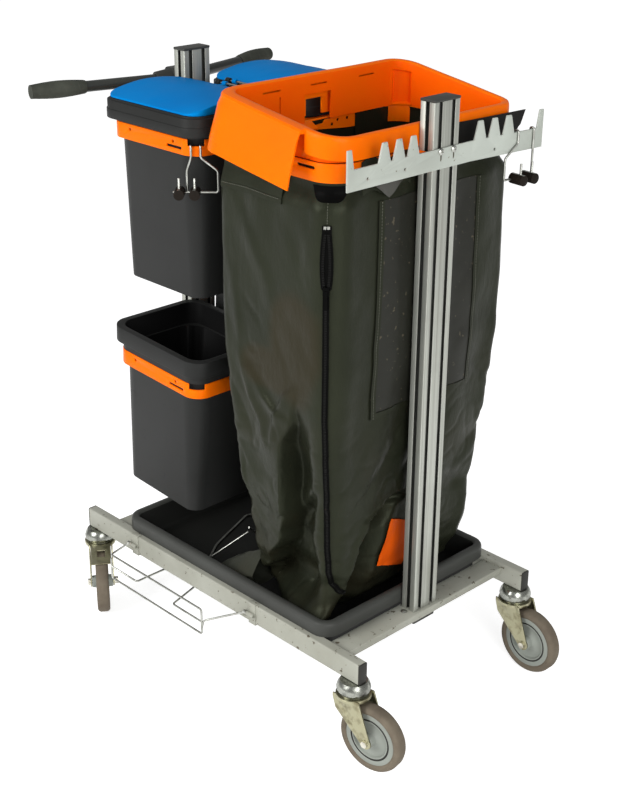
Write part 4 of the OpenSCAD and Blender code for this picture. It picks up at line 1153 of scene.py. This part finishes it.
# sloping collar: inner wall, rolled rim and outer skirt, which runs down as an apron on the near side;
# notch, slots and slit are openings in the rear wall as ranges of y, levels are shares of the wall's height
collarForm = {
    "midX": bagForm["midX"] + 0.004, "halfX": 0.126, "halfY": 0.209, "rounds": (0.05, 0.026, 0.04, 0.03),
    "step": 0.012, "bottom": 1.0318, "topRear": 1.112, "topFront": 1.072, "wall": 0.003, "innerOut": -0.0075,
    "levels": (0.0, 0.045, 0.274, 0.449, 0.64, 0.695, 0.824, 0.86, 1.0),
    "roll": ((-0.0068, -0.0038), (-0.0048, -0.0021), (-0.0015, -0.0016), (0.0015, -0.0017),
             (0.0033, -0.0026), (0.0043, -0.0047), (0.0046, -0.008)),
    "skirt": (0.018, 0.0365, 0.044, 0.056, 0.072, 0.09), "skirtOut": 0.0046,
    "apronEnd": 0.067, "apronGap": 0.001, "apronOut": 0.01, "apronFlare": 0.027, "hollow": 0.009,
    "notch": (-0.037, 0.0245), "slots": ((-0.1305, -0.0915), (-0.023, 0.015), (0.092, 0.129)),
    "slit": (-0.0942, -0.0915), "notchTop": 0.65, "slotLevel": 0.86, "slitFrom": 0.2, "slitTo": 0.7,
}
collarRows = [("inner", collarForm["innerOut"], level) for level in collarForm["levels"]]
collarRows += [("roll", offset, level) for offset, level in collarForm["roll"]]
collarRows += [("skirt", collarForm["skirtOut"], -depth) for depth in collarForm["skirt"]]


def apronShare(spot):
    x, y, nx, ny = spot
    if y > 0 or x > collarForm["apronEnd"] + collarForm["apronGap"] / 2:
        return 0.0
    return fade(-ny, 0.0, 1.0)


def onCollar(spot, row):
    shape = collarForm
    x, y, nx, ny = spot
    kind, offset, level = row
    slope = (shape["topRear"] - shape["topFront"]) / (2 * shape["halfX"])
    top = shape["topRear"] - (x + shape["halfX"]) * slope
    share = apronShare(spot)
    if kind == "inner":
        z = shape["bottom"] + level * (top - 0.0065 - shape["bottom"])
        if nx < -0.25 and ny > 0.25:  # upright hollow in the far corner
            offset += shape["hollow"] * fade(level, 0.0, 0.045) * (1.0 - fade(level, 0.83, 0.87))
    else:
        z = top + level
        if offset > 0.001:
            offset += share * shape["apronOut"] * fade(offset, 0.0, 0.0043)
        if kind == "skirt":
            offset += share * shape["apronFlare"] * fade(-level, -0.02, 0.11)
    z += 0.0006 * noiseAt((x * 9, y * 9, 2.0))
    return Vector((shape["midX"] + x + nx * offset, y + ny * offset, z))


# openings: notch, slots and slit in the rear wall, the apron's free end, the low skirt outside the apron
def collarHole(first, second, number):
    shape = collarForm
    kind, offset, level = collarRows[number]
    midY = (first[1] + second[1]) / 2
    rear = first[2] < -0.9 and second[2] < -0.9

    def within(part):
        return part[0] < midY < part[1]

    if kind == "inner" and rear:
        if level < shape["notchTop"] and within(shape["notch"]):
            return True
        if abs(level - shape["slotLevel"]) < 0.01 and any(within(slot) for slot in shape["slots"]):
            return True
        below = collarRows[number - 1][2]
        return below > shape["slitFrom"] and level < shape["slitTo"] and within(shape["slit"])
    if kind != "skirt":
        return False
    past = [spot[0] - shape["apronEnd"] for spot in (first, second)]
    if first[1] < 0 and min(past) > -0.0003 and max(past) < shape["apronGap"] + 0.0003:
        return True
    if -level < 0.04:
        return False
    if rear:
        return -level > 0.08 or (-level > 0.045 and within(shape["slots"][1]))
    return not (apronShare(first) > 0.02 and apronShare(second) > 0.02)


def makeCollar():
    shape = collarForm
    ending = shape["apronEnd"]
    openings = (shape["notch"], shape["slit"], *shape["slots"])
    cuts = {2: {y for part in openings for y in part}, 3: (ending, ending + shape["apronGap"])}
    spots = loopSpots(shape["halfX"], shape["halfY"], shape["rounds"], shape["step"], cuts)
    bm = sweepSkin(len(spots), collarRows, lambda step, row: onCollar(spots[step], row),
                   lambda first, second, number: collarHole(spots[first], spots[second], number))
    collar = finishPiece("collar_shell", bm, "orangePlastic", "collar", 34.0)

    # painted shade: the inside faces get the redder orange, for light bounced between the collar's own walls
    def isInside(face):  # the inside looks redder, lit by its own walls
        out = (face.center.x - shape["midX"]) * face.normal.x + face.center.y * face.normal.y
        return out < 0 and abs(face.normal.z) < 0.5

    secondFinish(collar, "orangeDeep", isInside)
    addWall(collar, shape["wall"], 0.0)
    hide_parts("collar")


# pads that the collar stands on: (x, y, wide, deep)
padForm = {
    "pads": ((-0.06, -0.2015, 0.02, 0.004), (0.06, -0.2015, 0.02, 0.004), (-0.06, 0.2015, 0.02, 0.004),
             (0.06, 0.2015, 0.02, 0.004), (0.1185, -0.12, 0.004, 0.02), (0.1185, 0.12, 0.004, 0.02)),
    "tall": 0.0135, "up": 0.0087, "rounding": 0.0008,
}


def makeCollarFeet():
    bm = bmesh.new()
    for x, y, wide, deep in padForm["pads"]:
        place = (collarForm["midX"] + x, y, collarForm["bottom"] + padForm["up"])
        addBox(bm, (wide, deep, padForm["tall"]), place, Matrix.Identity(4))
    roundEdges(bm, bm.edges[:], padForm["rounding"])
    finishPiece("collar_feet", bm, "orangePlastic", "collar")


makeCollar()
makeCollarFeet()
print("collar made")


# deep tray with a broad rounded rim
trayLow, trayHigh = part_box("base_tray")
trayForm = {
    "midX": (trayLow.x + trayHigh.x) / 2, "halfX": (trayHigh.x - trayLow.x) / 2,
    "halfY": (trayHigh.y - trayLow.y) / 2, "bottom": trayHigh.z - 0.0268, "top": trayHigh.z,
    "floor": trayLow.z + 0.003, "rim": 0.017, "wall": 0.0028, "round": 0.032, "step": 0.03,
}


def makeTray():
    shape = trayForm
    spots = loopSpots(shape["halfX"], shape["halfY"], (shape["round"],) * 4, shape["step"], {})
    top, floor, rim = shape["top"], shape["floor"], shape["rim"]
    rows = ((0.0, shape["bottom"]), (0.0, top - 0.008), (0.0006, top - 0.0045), (0.0026, top - 0.0016),
            (0.0058, top - 0.0002), (rim - 0.006, top), (rim - 0.0026, top - 0.0012),
            (rim - 0.0006, top - 0.004), (rim, top - 0.008), (rim + 0.0008, floor + 0.007),
            (rim + 0.0022, floor + 0.0024), (rim + 0.006, floor + 0.0002), (rim + 0.016, floor),
            (None, floor))

    def onTray(step, row):
        x, y, nx, ny = spots[step]
        inset, z = row
        if inset is None:  # last loop, half way to the middle of the floor
            return Vector((shape["midX"] + x * 0.5, y * 0.5, z))
        return Vector((shape["midX"] + x - nx * inset, y - ny * inset, z))

    # painted shade: the floor inside the rim gets a darker plastic than the rim
    def isFloor(face):
        outX = abs(face.center.x - shape["midX"]) - shape["halfX"]
        outY = abs(face.center.y) - shape["halfY"]
        return max(outX, outY) < -0.016 and face.center.z < top - 0.005

    bm = sweepSkin(len(spots), rows, onTray, capEnd=True)
    tray = finishPiece("tray_shell", bm, "trayPlastic", "chassis", 50.0)
    secondFinish(tray, "trayFloor", isFloor)
    addWall(tray, shape["wall"], -1.0)
    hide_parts("base_tray")


# dirt that has run down the plate below the rack's screws: (shift, drop) of each drip
dripForm = {"plate": 0.003, "screw": 0.0055, "drips": ((0.0, 0.0105), (0.0011, 0.0085))}


def makeDrips():
    low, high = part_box("rack_screws")
    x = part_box("hook_rack")[0].x + dripForm["plate"] + 0.0002
    middle = (low.z + high.z) / 2
    entries = []
    for y in (low.y + dripForm["screw"], high.y - dripForm["screw"]):
        for shift, drop in dripForm["drips"]:
            entries.append((Vector((x, y + shift, middle - drop)), zAxis, yAxis, xAxis))
    dashes("rack_drips", entries, (0.0095, 0.0016, 0.0003), "dripStain")


makeTray()
makeDrips()
print("tray made, rack stained")
makeZip()
makePatch()
makeFlap()
makePocket()
makeLabel()
makeCuffs()
makeRingDetails()
print("bag details sewn on")
